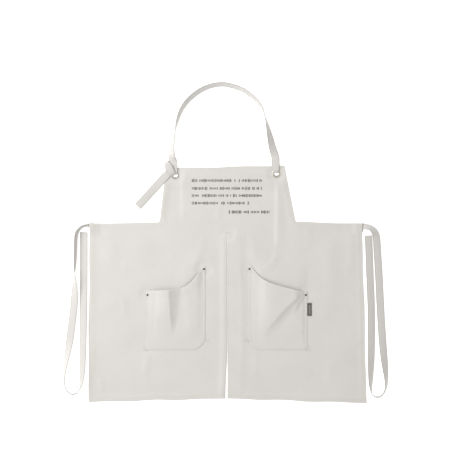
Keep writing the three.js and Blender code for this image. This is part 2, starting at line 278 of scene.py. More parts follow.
def unit(vectors):
    return vectors / np.linalg.norm(vectors, axis=1, keepdims=True)


def through(rows, spacing):
    """A soft curve through rows of numbers, sampled evenly along its first three. Also the run there."""
    rows = np.array(rows, float)
    held = np.vstack([2 * rows[0] - rows[1], rows, 2 * rows[-1] - rows[-2]])
    t = np.linspace(0, 1, 24, endpoint=False)[:, None]
    pieces = []
    for a, b, c, d in zip(held, held[1:], held[2:], held[3:]):
        bend = (2 * a - 5 * b + 4 * c - d) * t**2 + (3 * b - a - 3 * c + d) * t**3
        pieces.append(0.5 * (2 * b + (c - a) * t + bend))
    fine = np.vstack([*pieces, rows[-1:]])
    steps = np.linalg.norm(np.diff(fine[:, :3], axis=0), axis=1)
    run = np.concatenate([[0], np.cumsum(steps)])
    at = np.linspace(0, run[-1], max(3, round(run[-1] / spacing) + 1))
    return np.column_stack([np.interp(at, run, column) for column in fine.T]), at


print("a curve through three places:", len(through([(0, 0, 0), (1, 1, 0), (2, 0, 0)], 0.1)[0]), "samples")

# %% [markdown]
# ## The four routes
# Each row says x, y, the roll in degrees, and the height of what the strap lies on. The places repeat
# the frame's own strap routes. The rolls are the looks' own near the wings and down the left tie.

# %% Routes in millimetres
NECK_ROUTE = [
    (-178, 408, 24, 3), (-177, 420, 46, 0), (-176, 444, 60, 0), (-169, 480, 80, 0),
    (-161, 520, 104, 0), (-146, 560, 116, 0), (-118, 596, 122, 0), (-72, 627, 120, 0),
    (-18, 639, 118, 0), (38, 626, 118, 0), (76, 602, 114, 0), (106, 570, 104, 0), (120, 534, 86, 0),
    (129, 500, 62, 0), (137, 466, 38, 0), (144, 436, 20, 0), (150, 418, 8, 1), (152.5, 408, 0, 3),
]
TAIL_ROUTE = [
    (-203.5, 340, 0, 6.05), (-220, 322, 0, 5), (-236, 304.5, 4, 2.2), (-252, 287, 6, 0.3),
    (-270, 267.5, 5, 0), (-287, 249, 4, 0),
]
LEFT_TIE_ROUTE = [
    (-447, 187, 56, 0), (-456, 186, 60, 0), (-466, 182, 66, 0), (-476, 173, 70, 0),
    (-482, 160, 70, 0), (-484, 140, 72, 0), (-485, 100, 74, 0), (-487, 50, 86, 0),
    (-488, -10, 140, 0), (-490, -60, 160, 0), (-496, -114, 164, 0), (-504, -178, 160, 0),
    (-513, -236, 130, 0), (-520, -282, 110, 0), (-521, -312, 104, 0), (-515, -336, 102, 0),
    (-498, -350, 102, 0), (-481, -345, 96, 0), (-470, -328, 76, 0), (-465, -300, 54, 0),
    (-463.5, -260, 36, 0), (-462, -180, 24, 0), (-460, -60, 16, 0), (-459.5, 60, 14, 0),
    (-459.5, 168, 12, 0),
]
RIGHT_TIE_ROUTE = [
    (440.5, 187, 34, 0), (449, 185, 34, 0), (459, 180, 36, 0), (470, 168, 26, 0), (476, 150, 14, 0),
    (479, 110, 10, 0), (484.5, 20, 8, 0), (489.5, -82, 8, 0), (495.5, -178, 12, 0), (501, -242, 26, 0),
    (506, -296, 54, 0), (505, -330, 70, 0), (494, -352, 74, 0), (477, -359, 76, 0), (462, -350, 92, 0),
    (457, -325, 116, 0), (457.5, -285, 138, 0), (459.5, -210, 158, 0), (459.5, -82, 166, 0),
    (456, 14, 168, 0), (450.5, 157, 168, 0),
]
print("routes:", len(NECK_ROUTE), len(TAIL_ROUTE), len(LEFT_TIE_ROUTE), len(RIGHT_TIE_ROUTE), "places")

# %% Laying a strap on the table
STRAP_WIDTH = 25 * MM
STRAP_THICKNESS = 1.9 * MM
STATION = 3.5 * MM
TABLE_GAP = 0.02 * MM


def lay(route):
    """Centres and side vectors of a strap that rests on its lower edge or face."""
    rows = [(x * MM, y * MM, lift * MM, math.radians(roll)) for x, y, roll, lift in route]
    samples, _ = through(rows, STATION)
    ahead = unit(np.gradient(samples[:, :2], axis=0))
    sine, cosine = np.sin(samples[:, 3]), np.cos(samples[:, 3])
    sides = np.column_stack([ahead[:, 1] * cosine, -ahead[:, 0] * cosine, sine])
    stands = np.abs(sine) * STRAP_WIDTH / 2 + np.abs(cosine) * STRAP_THICKNESS / 2
    centres = np.column_stack([samples[:, :2], samples[:, 2] + stands + TABLE_GAP])
    return centres, sides


def run_along(points):
    """The run from the first point to each point."""
    return np.concatenate([[0], np.cumsum(np.linalg.norm(np.diff(points, axis=0), axis=1))])


def path_length(points):
    return float(run_along(points)[-1])


print("neck route", round(path_length(lay(NECK_ROUTE)[0]), 3), "m")


# %% [markdown]
# ## One ring of a strap
# Each number pair is a place on the ring: a share of the half width, and of the half thickness. The
# small dips near the edges are where the seam thread pulls the canvas down.

# %% The ring, and meshes from points
UPPER_RING = [(-0.985, 0.6), (-0.94, 0.95), (-0.87, 1), (-0.81, 0.8), (-0.75, 1), (-0.3, 1.05),
              (0.3, 1.05), (0.75, 1), (0.81, 0.8), (0.87, 1), (0.94, 0.95), (0.985, 0.6)]
RING = [(-1, 0), *UPPER_RING, (1, 0), *[(a, -b) for a, b in reversed(UPPER_RING)]]
SEAM_SHARE = 0.81
print("strap ring:", len(RING), "places")


def outward(points, faces):
    """The faces, turned round where they enclose a negative volume."""
    points = np.asarray(points)
    volume = 0.0
    for face in faces:
        for b, c in zip(face[1:], face[2:]):
            volume += np.dot(points[face[0]], np.cross(points[b], points[c]))
    return faces if volume > 0 else [face[::-1] for face in faces]


SHARP_ANGLE = math.radians(62)


def make_piece(name, points, faces, material, uv=None):
    """A mesh object at the origin, smooth but for its sharp edges. uv holds one pair for each point."""
    mesh = bpy.data.meshes.new(name)
    mesh.from_pydata([tuple(p) for p in points], [], [tuple(f) for f in faces])
    mesh.materials.append(material)
    mesh.polygons.foreach_set("use_smooth", [True] * len(mesh.polygons))
    if uv is not None:
        layer = mesh.uv_layers.new(name="cloth")
        corners = np.zeros(len(mesh.loops), int)
        mesh.loops.foreach_get("vertex_index", corners)
        layer.data.foreach_set("uv", np.asarray(uv, np.float32)[corners].ravel())
    mesh.validate()
    mesh.set_sharp_from_angle(angle=SHARP_ANGLE)
    piece = bpy.data.objects.new(name, mesh)
    bpy.context.collection.objects.link(piece)
    return piece


def strap_shell(centres, sides, widths=None, thickness=STRAP_THICKNESS):
    """Points, faces and cloth places of a strap with closed ends, then its sides and normals."""
    count = len(centres)
    widths = np.full(count, STRAP_WIDTH) if widths is None else np.asarray(widths)
    ahead = unit(np.gradient(centres, axis=0))
    sides = unit(sides - ahead * np.sum(sides * ahead, axis=1, keepdims=True))
    normals = unit(np.cross(sides, ahead))
    run = run_along(centres)
    share = np.array([a for a, _ in RING])
    depth = np.array([b for _, b in RING]) * thickness / 2
    across = share[None, :] * widths[:, None] / 2
    points = centres[:, None] + sides[:, None] * across[..., None]
    points = points + normals[:, None] * depth[None, :, None]
    uv = np.stack([np.broadcast_to(run[:, None], across.shape), across], axis=-1)
    around = len(RING)
    faces = []
    for i in range(count - 1):
        for k in range(around):
            a, b = i * around + k, i * around + (k + 1) % around
            faces.append((a, b, b + around, a + around))
    for first in (0, (count - 1) * around):
        for k in range(around // 2 - 1):
            a, b = (first + k, first + (around - k) % around)
            c, d = (first + around - k - 1, first + k + 1)
            cap = (a, d, c, b) if first == 0 else (a, b, c, d)
            faces.append(tuple(dict.fromkeys(cap)))
    points = points.reshape(-1, 3)
    return points, outward(points, faces), uv.reshape(-1, 2), sides, normals


# %% [markdown]
# ## Strap canvas
# The straps are cut from much the same canvas as the apron, folded and sewn. They look a touch darker,
# and along both edges their colour is greyed with painted shade for the shadow of the folded edges and
# seams. The weave follows the strap, so it reads the strap's own cloth map and never the table's axes.

# %% Canvas for straps and cloth
WEAVE_PITCH = 0.85 * MM


def weave(shader, place, x, y):
    """Height of a plain weave, with uneven yarns."""
    drift = shader.noise(place, 140, 2) * (1.6 * MM)
    turn = 2 * math.pi / WEAVE_PITCH
    warp = ((x + drift) * turn).sin()
    weft = ((y - drift) * turn).sin()
    return warp * weft * 0.5 + 0.5


def yarns(shader, x, y, lengthwise, crosswise):
    """Long soft streaks, as from thicker yarns."""
    stretched = shader.node("ShaderNodeCombineXYZ", inputs=[x * lengthwise, y * crosswise, 0.0])
    return shader.noise(stretched, 1.0, 2)


# Painted shade: beyond this distance from a strap's middle, its colour is mixed halfway to a grey that stands
# in for the shadow at the folded edges and seams.
EDGE_SHADE = 10.2 * MM
EDGE_SHADE_SHARE = 0.5
PAINTED_EDGE_SHADOW_GREY = (0.42, 0.4, 0.37, 1)
FIBRE_PALE = (0.93, 0.9, 0.84, 1)
INK_BLACK = (0.058, 0.053, 0.049, 1)


def canvas(name, pale, deep, mapped, ink=None):
    """Undyed canvas. A mapped one follows the piece's own cloth map, else it follows the flat apron."""
    shader = Shader(name)
    place, axes = shader.cloth_place() if mapped else shader.object_place()
    x, y = axes[0], axes[1]
    slub = yarns(shader, x, y, 30, 900) * 0.5 + yarns(shader, x, y, 900, 30) * 0.5
    mottle = shader.noise(place, 11, 4, 0.6)
    cloth = shader.mix((slub * 0.8 + mottle * 0.5 - 0.15).ramp(0.2, 0.8), deep, pale)
    fibre = shader.noise(place, 2600, 2)
    cloth = shader.mix(fibre.ramp(0.6, 0.8) * 0.12, cloth, FIBRE_PALE)
    # Painted shade along both edges of a strap, for the shadow of its folded edges and seams.
    if mapped:
        cloth = shader.mix((y.abs() > EDGE_SHADE) * EDGE_SHADE_SHARE, cloth, PAINTED_EDGE_SHADOW_GREY)
    if ink is not None:
        cloth = shader.mix(ink(shader, x, y), cloth, INK_BLACK)
    height = weave(shader, place, x, y) * 0.6 + slub * 0.6 + fibre * 0.15
    normal = shader.bump(height, 0.16 * MM, 0.85)
    shader.set(Base_Color=cloth, Normal=normal, Roughness=0.86 + slub * 0.1,
               Specular_IOR_Level=0.18, Sheen_Weight=0.12, Sheen_Roughness=0.6)
    return shader.material


STRAP_CANVAS = canvas("strap canvas", (0.745, 0.728, 0.705, 1), (0.695, 0.678, 0.65, 1), True)
print("strap canvas:", len(STRAP_CANVAS.node_tree.nodes), "nodes")

# %% [markdown]
# ## Neck strap
# One strap runs from the left eyelet over the wearer's neck to the right eyelet. Each end dives into
# its eyelet from the front, and there the canvas is bunched to less than half its width.

# %% Neck strap
EYELET_LEFT = middle("left_eyelet")
EYELET_RIGHT = middle("right_eyelet")
FLAT = (1.0, 0.0, 0.0)
OVER_FLANGE = 8.8 * MM
DIVE_STATION = 2.2 * MM

neck_centres, neck_sides = lay(NECK_ROUTE)


def dive(eyelet, start, way, over):
    """The last run of a strap, from its route over the bib's edge into an eyelet: path, sides, widths."""
    x, y = eyelet[:2]
    # Each row is a place and the share of the strap's full width there.
    rows = [
        (*start, 1),
        (start[0] + 0.35 * (x - start[0]), start[1] - 12 * MM, over - 2.4 * MM, 0.98),
        (start[0] + 0.7 * (x - start[0]), start[1] - 26 * MM, over, 0.86),
        (x, y + 14 * MM, over + 0.5 * MM, 0.66),
        (x, y + 6.5 * MM, over - 0.6 * MM, 0.5),
        (x, y + 4.2 * MM, over - 4.2 * MM, 0.44),
        (x, y + 3.6 * MM, 0.9 * MM, 0.44),
    ]
    samples, _ = through(rows, DIVE_STATION)
    sides = np.tile(np.array(FLAT) * way, (len(samples), 1))
    return samples[:, :3], sides, samples[:, 3] * STRAP_WIDTH


left_dive = dive(EYELET_LEFT, neck_centres[0], 1, OVER_FLANGE)
right_dive = dive(EYELET_RIGHT, neck_centres[-1], -1, OVER_FLANGE)
# Each dive starts with the side that the route has there, and turns flat over its first stations.
TURN_STATIONS = 8
for (_, dive_sides, _), first_side in ((left_dive, neck_sides[0]), (right_dive, neck_sides[-1])):
    turn = smooth(0, TURN_STATIONS, np.arange(len(dive_sides)))[:, None]
    goal = dive_sides * (1 if np.dot(dive_sides[0], first_side) > 0 else -1)
    dive_sides[:] = unit(first_side * (1 - turn) + goal * turn)


def with_dives(column, middle_run):
    """The neck strap's values from eyelet to eyelet: one column of both dives, and the run between."""
    return np.concatenate([left_dive[column][:0:-1], middle_run, right_dive[column][1:]])


neck_path = with_dives(0, neck_centres)
neck_widths = with_dives(2, np.full(len(neck_centres), STRAP_WIDTH))
neck_shell = strap_shell(neck_path, with_dives(1, neck_sides), neck_widths)
neck_strap = make_piece("neck_strap_canvas", *neck_shell[:2], STRAP_CANVAS, neck_shell[2])
print("neck strap", round(path_length(neck_path), 3), "m")

# %% [markdown]
# ## Knot and turned-back end
# At the left the strap is tied to its eyelet with a half hitch: it comes up behind the bib, folds over
# its own standing part as a broad band, and its end leaves below as a tail. At the right it comes up
# behind the bib and is sewn to itself. Both are short straps with given sides.

# %% Knot and anchor
def bent_strap(rows, side, shares=(1, 1)):
    """A strap through places in millimetres, with one side direction and evenly spaced width shares."""
    samples, run = through(np.array(rows, float) * MM, 2 * MM)
    sides = np.tile(np.array(side, float), (len(samples), 1))
    widths = np.interp(run / run[-1], np.linspace(0, 1, len(shares)), shares) * STRAP_WIDTH
    return strap_shell(samples, sides, widths)


band = bent_strap([
    (-167, 352, 1.3), (-168.5, 364, 1.3), (-175, 376, 1.4), (-186, 386, 3), (-193, 391, 7.5),
    (-194.5, 389, 12), (-191, 381, 14.3), (-185, 369, 14.9), (-179, 358, 13.6), (-174, 352, 10.6),
    (-171, 350, 6.5),
], (0.89, 0.46, 0), (0.46, 0.8, 0.84, 0.7, 0.5, 0.86, 1, 0.84, 0.5))
knot = make_piece("strap_knot_band", *band[:2], STRAP_CANVAS, band[2])

turnback = bent_strap([
    (156, 357, 1.3), (155.5, 368, 1.2), (154.5, 382, 1.2), (153.5, 394, 1.3), (152.5, 404, 1.6),
], (1, 0.05, 0), (0.46, 0.96, 1, 1))
anchor = make_piece("strap_turned_back", *turnback[:2], STRAP_CANVAS, turnback[2])
print("knot and turned-back end", len(knot.data.polygons), "and", len(anchor.data.polygons), "faces")

# %% Tail
tail_centres, tail_sides = lay(TAIL_ROUTE)
TAIL_ROOT = [(-0.1775, 0.3675, 0.0105), (-0.186, 0.3585, 0.0092), (-0.195, 0.349, 0.0074)]
tail_root = through([*TAIL_ROOT, tuple(tail_centres[0])], STATION)[0][:-1]
tail_path = np.vstack([tail_root, tail_centres])
root_widths = np.linspace(0.8, 1, len(tail_root))
tail_widths = np.concatenate([root_widths, np.ones(len(tail_centres))]) * STRAP_WIDTH
root_sides = np.tile(tail_sides[0], (len(tail_root), 1))
tail_shell = strap_shell(tail_path, np.vstack([root_sides, tail_sides]), tail_widths)
tail = make_piece("strap_tail_canvas", *tail_shell[:2], STRAP_CANVAS, tail_shell[2])
print("tail", round(path_length(tail_path), 3), "m")

# %% [markdown]
# ## Ties
# A tie leaves the corner of each wing. Its root is sewn flat behind the corner. From there it turns
# over, runs down beside the skirt, stands on its edge round a loop, and comes back up.

# %% Ties
WIDEN_RUN = 46 * MM
SETTLE_RUN = 40 * MM
# Each row is millimetres inward from the route's start, a share of root_up, and a height in millimetres.
ROOT_ROWS = [(20, 0.2, 1.1), (12, 0.2, 1.3), (5, 0.1, 2.8)]
ROOT_STATION = 2 * MM
EASED_STATIONS = (2, 19)
EASING_PASSES = 5


def standing(sides, widths):
    """Height of a strap's centre when its lower edge touches the table."""
    return np.abs(sides[:, 2]) * widths / 2 + STRAP_THICKNESS / 2 + TABLE_GAP


def tie(name, route, inward, root_share, root_up):
    """A tie with its root folded to root_share of its width, and set root_up higher than the route."""
    centres, sides = lay(route)
    run = run_along(centres)
    widths = STRAP_WIDTH * (root_share + (1 - root_share) * smooth(0, WIDEN_RUN, run))
    centres[:, 2] = standing(sides, widths)
    centres[:, 1] += root_up * smooth(SETTLE_RUN, 0, run)
    x, y = centres[0][:2]
    rows = [(x + inward * reach * MM, y + share * root_up, height * MM) for reach, share, height in ROOT_ROWS]
    root, _ = through([*rows, tuple(centres[0])], ROOT_STATION)
    turn = smooth(0.5, 1.0, np.linspace(0, 1, len(root)))[:-1, None]
    flat = np.array([0, -1.0, 0]) * (1 if sides[0][1] < 0 else -1)
    root_sides = unit(flat * (1 - turn) + sides[0] * turn)
    root[:-1, 2] = np.maximum(root[:-1, 2], standing(root_sides, widths[0]))
    path = np.vstack([root[:-1], centres])
    first, last = EASED_STATIONS
    for _ in range(EASING_PASSES):
        heights = path[first - 1:last + 1, 2]
        path[first:last, 2] = (heights[:-2] + 2 * heights[1:-1] + heights[2:]) / 4
    widths = np.concatenate([np.full(len(root) - 1, widths[0]), widths])
    shell = strap_shell(path, np.vstack([root_sides, sides]), widths)
    piece = make_piece(name, *shell[:2], STRAP_CANVAS, shell[2])
    print(name, round(path_length(path), 3), "m")
    return piece, path, shell, widths


left_tie, left_tie_path, left_tie_shell, left_tie_widths = tie(
    "left_tie_canvas", LEFT_TIE_ROUTE, inward=1, root_share=0.6, root_up=2.2 * MM)
right_tie, right_tie_path, right_tie_shell, right_tie_widths = tie(
    "right_tie_canvas", RIGHT_TIE_ROUTE, inward=-1, root_share=0.85, root_up=-1.5 * MM)

# %% [markdown]
# ## How the cloth lies
# One function gives the height of the cloth's back over the table for every place on the apron, so
# that bib, legs, seams and pockets agree wherever they meet. It adds up slow waves, soft creases, the
# straps behind the bib's top and the wings' corners, and the swell over each pocket's mouth.

# %% Slow waves
CLOTH = 1.2 * MM
FOLD_Y = 160 * MM
draw = np.random.default_rng(11)
WAVE_COUNT = 14
# Each wave is a heading, a length and a start.
WAVES = [(draw.uniform(0, math.pi), draw.uniform(70, 260) * MM, draw.uniform(0, 2 * math.pi))
         for _ in range(WAVE_COUNT)]


def waves(x, y):
    """A still, uneven swell between about -1 and 1."""
    total = np.zeros_like(x)
    for heading, length, start in WAVES:
        along = x * math.cos(heading) + y * math.sin(heading)
        total += np.sin(along / length * 2 * math.pi + start) * (length / (200 * MM))
    return total / 4


def ripple(x, y):
    """Short puckers, as thread tension makes them along a seam."""
    across = np.sin(x / MM * 0.43 + np.sin(y / MM * 0.031) * 2.2) * 0.5
    slanting = np.sin((x + y) / MM * 0.27 + 1.3) * 0.3
    upright = np.sin(y / MM * 0.39 + np.sin(x / MM * 0.027) * 2) * 0.5
    return across + slanting + upright


print(WAVE_COUNT, "waves and a ripple")


# %% Distance to a line
def to_line(x, y, line):
    """Distance to a polyline, with a minus on its left, and the share of the line's run there."""
    line = np.array(line, float)
    best = np.full(x.shape, 1e9)
    side = np.ones_like(x)
    share = np.zeros_like(x)
    lengths = np.linalg.norm(np.diff(line, axis=0), axis=1)
    before = np.concatenate([[0], np.cumsum(lengths)])
    for i, (a, b) in enumerate(zip(line, line[1:])):
        d = b - a
        t = np.clip(((x - a[0]) * d[0] + (y - a[1]) * d[1]) / (d @ d), 0, 1)
        dx, dy = x - a[0] - t * d[0], y - a[1] - t * d[1]
        distance = np.hypot(dx, dy)
        closer = distance < best
        best = np.where(closer, distance, best)
        side = np.where(closer, np.where(d[0] * dy - d[1] * dx > 0, -1, 1), side)
        share = np.where(closer, (before[i] + t * lengths[i]) / before[-1], share)
    return best * side, share


print("one left of a line:", to_line(np.array([0.5]), np.array([1.0]), [(0, 0), (1, 0)])[0])

# %% Creases: a line in millimetres, its width on each side, and its height
CREASES = [
    ([(-146, 384), (-144, 300), (-142, 192)], 26, 5, 1.7),
    ([(160, 346), (159, 262), (158, 190), (158, 100)], 20, 5, 2.8),
    ([(158, 110), (146, 72), (112, 46)], 14, 7, 1.4),
    ([(-30, 256), (-28, 196)], 9, 7, 0.9),
    ([(-330, 74), (-326, 40)], 10, 8, 0.9),
    ([(-334, -30), (-330, -112)], 12, 8, 0.9),
    ([(-252, -214), (-258, -250), (-266, -300)], 10, 12, 1.3),
    ([(-412, -300), (-398, -346)], 9, 8, 1.0),
    ([(46, 70), (47, -60), (49, -300)], 14, 7, 0.8),
    ([(90, -205), (88, -310)], 9, 8, 0.8),
    ([(-380, 180), (-372, 120), (-384, 60)], 22, 16, 1.0),
    ([(330, 170), (322, 90), (334, -20)], 26, 18, 1.1),
    ([(392, 186), (398, 110), (388, 30)], 16, 14, 1.0),
    ([(250, 196), (262, 150), (258, 110)], 14, 12, 0.9),
    ([(-90, 150), (-60, 90), (-66, 66)], 18, 14, 0.9),
    ([(330, -240), (322, -330)], 16, 14, 0.9),
    ([(-190, 330), (-205, 262), (-214, 210)], 10, 9, 0.9),
    ([(30, 350), (44, 326)], 12, 9, 0.7),
]
SLIT_ROLL = 1.8 * MM


def crease_height(x, y):
    """The height that all creases add."""
    total = np.zeros_like(x)
    for line, left_width, right_width, height in CREASES:
        side, share = to_line(x, y, np.array(line) * MM)
        width = np.where(side < 0, left_width, right_width) * MM
        fade = smooth(0, 0.22, share) * smooth(1, 0.78, share)
        total += height * MM * np.exp(-(side / width) ** 2) * fade
    return total


print(len(CREASES), "creases")


# %% [markdown]
# ## Where the pockets pull
# Each pocket's mouth is a curve between its two rivets. The leg swells a little above it and dives in
# behind the pocket, which makes the mouth read as a darker line.

# %% Pocket outlines
# A mouth is pairs of the share of the pocket's width from its inner end, and y in millimetres. A swell
# is pairs of that share and how much of the full swell the leg has there.
POCKET_WIDTH = 191 * MM
POCKET_FOOT = -210 * MM
POCKETS = {
    "left": {
        "way": -1,
        "inner": -70 * MM,
        "mouth": [(0, 57), (0.03, 56), (0.07, 50), (0.13, 34), (0.2, 17), (0.27, 3), (0.34, -7),
                  (0.42, -12), (0.6, -16.5), (0.8, -19), (1, -20)],
        "swell": [(0, 0), (0.06, 0.35), (0.16, 1), (0.35, 1), (0.5, 0.3), (0.9, 0.16), (1, 0)],
    },
    "right": {
        "way": 1,
        "inner": 65 * MM,
        "mouth": [(0, 62), (0.03, 62), (0.07, 55), (0.12, 42), (0.18, 29), (0.26, 17), (0.36, 7),
                  (0.48, -1), (0.63, -9), (0.8, -17), (0.92, -22), (1, -23)],
        "swell": [(0, 0.1), (0.05, 0.5), (0.12, 1), (0.85, 1), (0.95, 0.5), (1, 0)],
    },
}
MOUTH_PASSES = 6
SWELL_HEIGHT = 3.4 * MM
SWELL_DIVE = 6.5 * MM


def mouth_y(side, share):
    """Height on the apron of a pocket's mouth: its pairs joined up, with the corners rounded."""
    pairs = np.array(POCKETS[side]["mouth"])
    fine = np.linspace(0, 1, 101)
    line = np.interp(fine, pairs[:, 0], pairs[:, 1])
    for _ in range(MOUTH_PASSES):
        line[1:-1] = (line[:-2] + 2 * line[1:-1] + line[2:]) / 4
    return np.interp(share, fine, line) * MM


def mouth_swell(x, y):
    """How far the leg rises over the pockets' mouths."""
    total = np.zeros_like(x)
    for side, pocket in POCKETS.items():
        share = (x - pocket["inner"]) * pocket["way"] / POCKET_WIDTH
        above = y - mouth_y(side, np.clip(share, 0, 1))
        pairs = np.array(pocket["swell"])
        strength = np.interp(share, pairs[:, 0], pairs[:, 1])
        strength = strength * smooth(-0.06, 0.02, share) * smooth(1.05, 0.99, share)
        dive = 1 - np.exp(-np.maximum(above, 0) / SWELL_DIVE)
        total += SWELL_HEIGHT * strength * dive * smooth(120 * MM, 25 * MM, above)
    return total


print(len(POCKETS), "pocket outlines,", round(POCKET_WIDTH / MM), "mm wide")


# %% Height of the cloth's back
TIE_PADS = [(-430 * MM, 180.5 * MM), (423 * MM, 180.5 * MM)]
WING_CORNERS = [(-443 * MM, 192 * MM, 3.5 * MM), (434 * MM, 192 * MM, 1.4 * MM)]
RIVETS = [middle(f"{side}_{corner}_rivet") for side in POCKETS for corner in ("inner", "outer")]
# Places where something is fixed to the cloth, each with the radius that lies still round it.
KNOT_PLACE = (-0.185, 0.372)
STILL_SMALL = 20 * MM
STILL_LARGE = 34 * MM
FIXED = [*RIVETS, middle("slit_bartack"), EYELET_LEFT, EYELET_RIGHT]
STILL = [(*place[:2], STILL_SMALL) for place in FIXED]
STILL += [(*place[:2], STILL_LARGE) for place in (middle("woven_tag"), KNOT_PLACE)]
LOOSE = 1.1 * MM
WAVE_HEIGHT = 1.0 * MM
TOP_LIFT = 3.6 * MM
PAD_LIFT = 2.0 * MM


def lie(x, y):
    """Height of the cloth's back over the table."""
    calm = np.ones_like(x)
    swell_calm = np.ones_like(x)
    for cx, cy, radius in STILL:
        away = np.hypot(x - cx, y - cy)
        calm = calm * smooth(radius * 0.8, radius * 1.7, away)
        swell_calm = swell_calm * smooth(radius * 0.3, radius * 2.2, away)
    loose = LOOSE + WAVE_HEIGHT * waves(x, y) + crease_height(x, y)
    height = np.maximum(loose, 0) * calm + mouth_swell(x, y) * swell_calm
    height = height + TOP_LIFT * smooth(296 * MM, 336 * MM, y)
    for cx, cy, lift in WING_CORNERS:
        height = height + lift * smooth(34 * MM, 4 * MM, np.hypot(x - cx, y - cy))
    for cx, cy in TIE_PADS:
        away = np.maximum(np.abs(x - cx), np.abs(y - cy))
        height = height + PAD_LIFT * smooth(26 * MM, 13 * MM, away)
    return height


SLIT_HALF = 0.25 * MM
SLIT_OPENING = 2.75 * MM
SLIT_LEAN = 3.6 * MM


def slit_edge(way, y):
    """x of a leg's edge at the slit: nearly shut above, open and a little askew at the hem."""
    opening = smooth(-185 * MM, -365 * MM, y)
    return way * (SLIT_HALF + SLIT_OPENING * opening) - SLIT_LEAN * opening


def slit_roll(x, y):
    """The left leg's edge rolls up beside the slit and drops at it."""
    inside = slit_edge(-1, y) - x
    fade = smooth(165 * MM, 60 * MM, y)
    crest = 0.35 + 0.65 * smooth(-1 * MM, 6 * MM, inside)
    roll = SLIT_ROLL * smooth(30 * MM, 7 * MM, inside) * crest
    return roll * (0.4 + 0.6 * fade) * smooth(165 * MM, 150 * MM, y)


print(len(STILL), "still places")


# %% [markdown]
# ## A flat layout that becomes cloth
# The cloth is laid out as flat quads first, in patches that share their corners. Lines of corners
# follow the outline closely at the hems and run evenly elsewhere. Then every corner gets two heights,
# the front and the back, and walls close the edges.

# %% Layout and shell
class Layout:
    """Flat quads; corners at the same place are shared."""

    def __init__(self):
        self.found = {}
        self.corners = []
        self.quads = []

    def corner(self, x, y):
        key = (round(x * 1e5), round(y * 1e5))
        if key not in self.found:
            self.found[key] = len(self.corners)
            self.corners.append((x, y))
        return self.found[key]

    def patch(self, xs, ys):
        """Adds a grid; xs and ys are two-dimensional."""
        ids = [[self.corner(x, y) for x, y in zip(row_x, row_y)] for row_x, row_y in zip(xs, ys)]
        for lower, upper in zip(ids, ids[1:]):
            for a, b, c, d in zip(lower, lower[1:], upper[1:], upper):
                p = np.array([self.corners[k] for k in (a, b, c, d)])
                turn = np.roll(p, -1, axis=0)
                area = np.sum(p[:, 0] * turn[:, 1] - p[:, 1] * turn[:, 0])
                self.quads.append((a, b, c, d) if area > 0 else (d, c, b, a))

    def pierce(self, centre, radius):
        """Drops the quads round a centre and draws the hole's rim to a circle."""
        spots = np.array(self.corners)
        away = spots - centre
        reach = np.linalg.norm(away, axis=1)
        inside = reach < radius * 0.92
        touched = {k for quad in self.quads if any(inside[k] for k in quad) for k in quad}
        self.quads = [quad for quad in self.quads if not any(inside[k] for k in quad)]
        for k in touched:
            if not inside[k]:
                self.corners[k] = tuple(centre + away[k] * radius / reach[k])

    def arrays(self):
        """Only the corners in use, and the quads that use them."""
        used = sorted({k for quad in self.quads for k in quad})
        place = {k: i for i, k in enumerate(used)}
        spots = np.array([self.corners[k] for k in used])
        return spots[:, 0], spots[:, 1], [tuple(place[k] for k in quad) for quad in self.quads]


def cloth_shell(name, layout, heights, material):
    """heights(x, y) gives back and front."""
    x, y, quads = layout.arrays()
    back, front = heights(x, y)
    count = len(x)
    points = np.vstack([np.column_stack([x, y, front]), np.column_stack([x, y, back])])
    edges = {(a, b) for quad in quads for a, b in zip(quad, quad[1:] + quad[:1])}
    faces = list(quads) + [tuple(k + count for k in quad[::-1]) for quad in quads]
    faces += [(b, a, a + count, b + count) for a, b in edges if (b, a) not in edges]
    uv = np.vstack([np.column_stack([x, y])] * 2)
    return make_piece(name, points, faces, material, uv)


# %% Lines of corners
GRID = 4.4 * MM
# Distances from a hemmed edge in millimetres. A hem wider than the plain one adds its own.
PLAIN_HEM = 12
WIDE_HEM_LINES = (-4, -2.6, -1.6, 0.1, 0.5, 3, 6)
EDGE_LINES = [0, 0.35, 0.9, 2.4, 5, 7.4, 8.6, 9.6, 10.4, 11.4, 12.1, 12.5, 14.5, 17]


def lines(low, high, low_widths=(), high_widths=()):
    """Places from low to high: close at each hemmed end, even between. Widths are hems in millimetres."""
    def near(widths):
        if not widths:
            return [0.0]
        kept = list(EDGE_LINES)
        for width in widths:
            if width > PLAIN_HEM:
                kept += [width + beyond for beyond in WIDE_HEM_LINES]
        return sorted(kept)

    span = high - low
    ends = [low + v * MM for v in near(low_widths)] + [high - v * MM for v in near(high_widths)]
    even = low + np.linspace(0, span, max(2, round(span / GRID) + 1))
    crowd = np.array(ends)
    free = [v for v in even if np.min(np.abs(crowd - v)) > GRID * 0.45]
    return np.unique(np.round(np.concatenate([crowd, free]), 7))


print("columns across half a metre with two plain hems:", len(lines(0, 0.5, (PLAIN_HEM,), (PLAIN_HEM,))))

# %% Hems
HEM_EXTRA = 1.1 * MM
HEM_FALL = 16 * MM
STITCH_INSET = 2 * MM
EDGE_ROUND = 1.1 * MM
SEAM_DIP, SEAM_DIP_WIDTH = 0.12 * MM, 1.3 * MM
PUCKER, PUCKER_WIDTH = 0.13 * MM, 6 * MM
CLOTH_PALE = (0.775, 0.76, 0.73, 1)
CLOTH_DEEP = (0.72, 0.702, 0.668, 1)


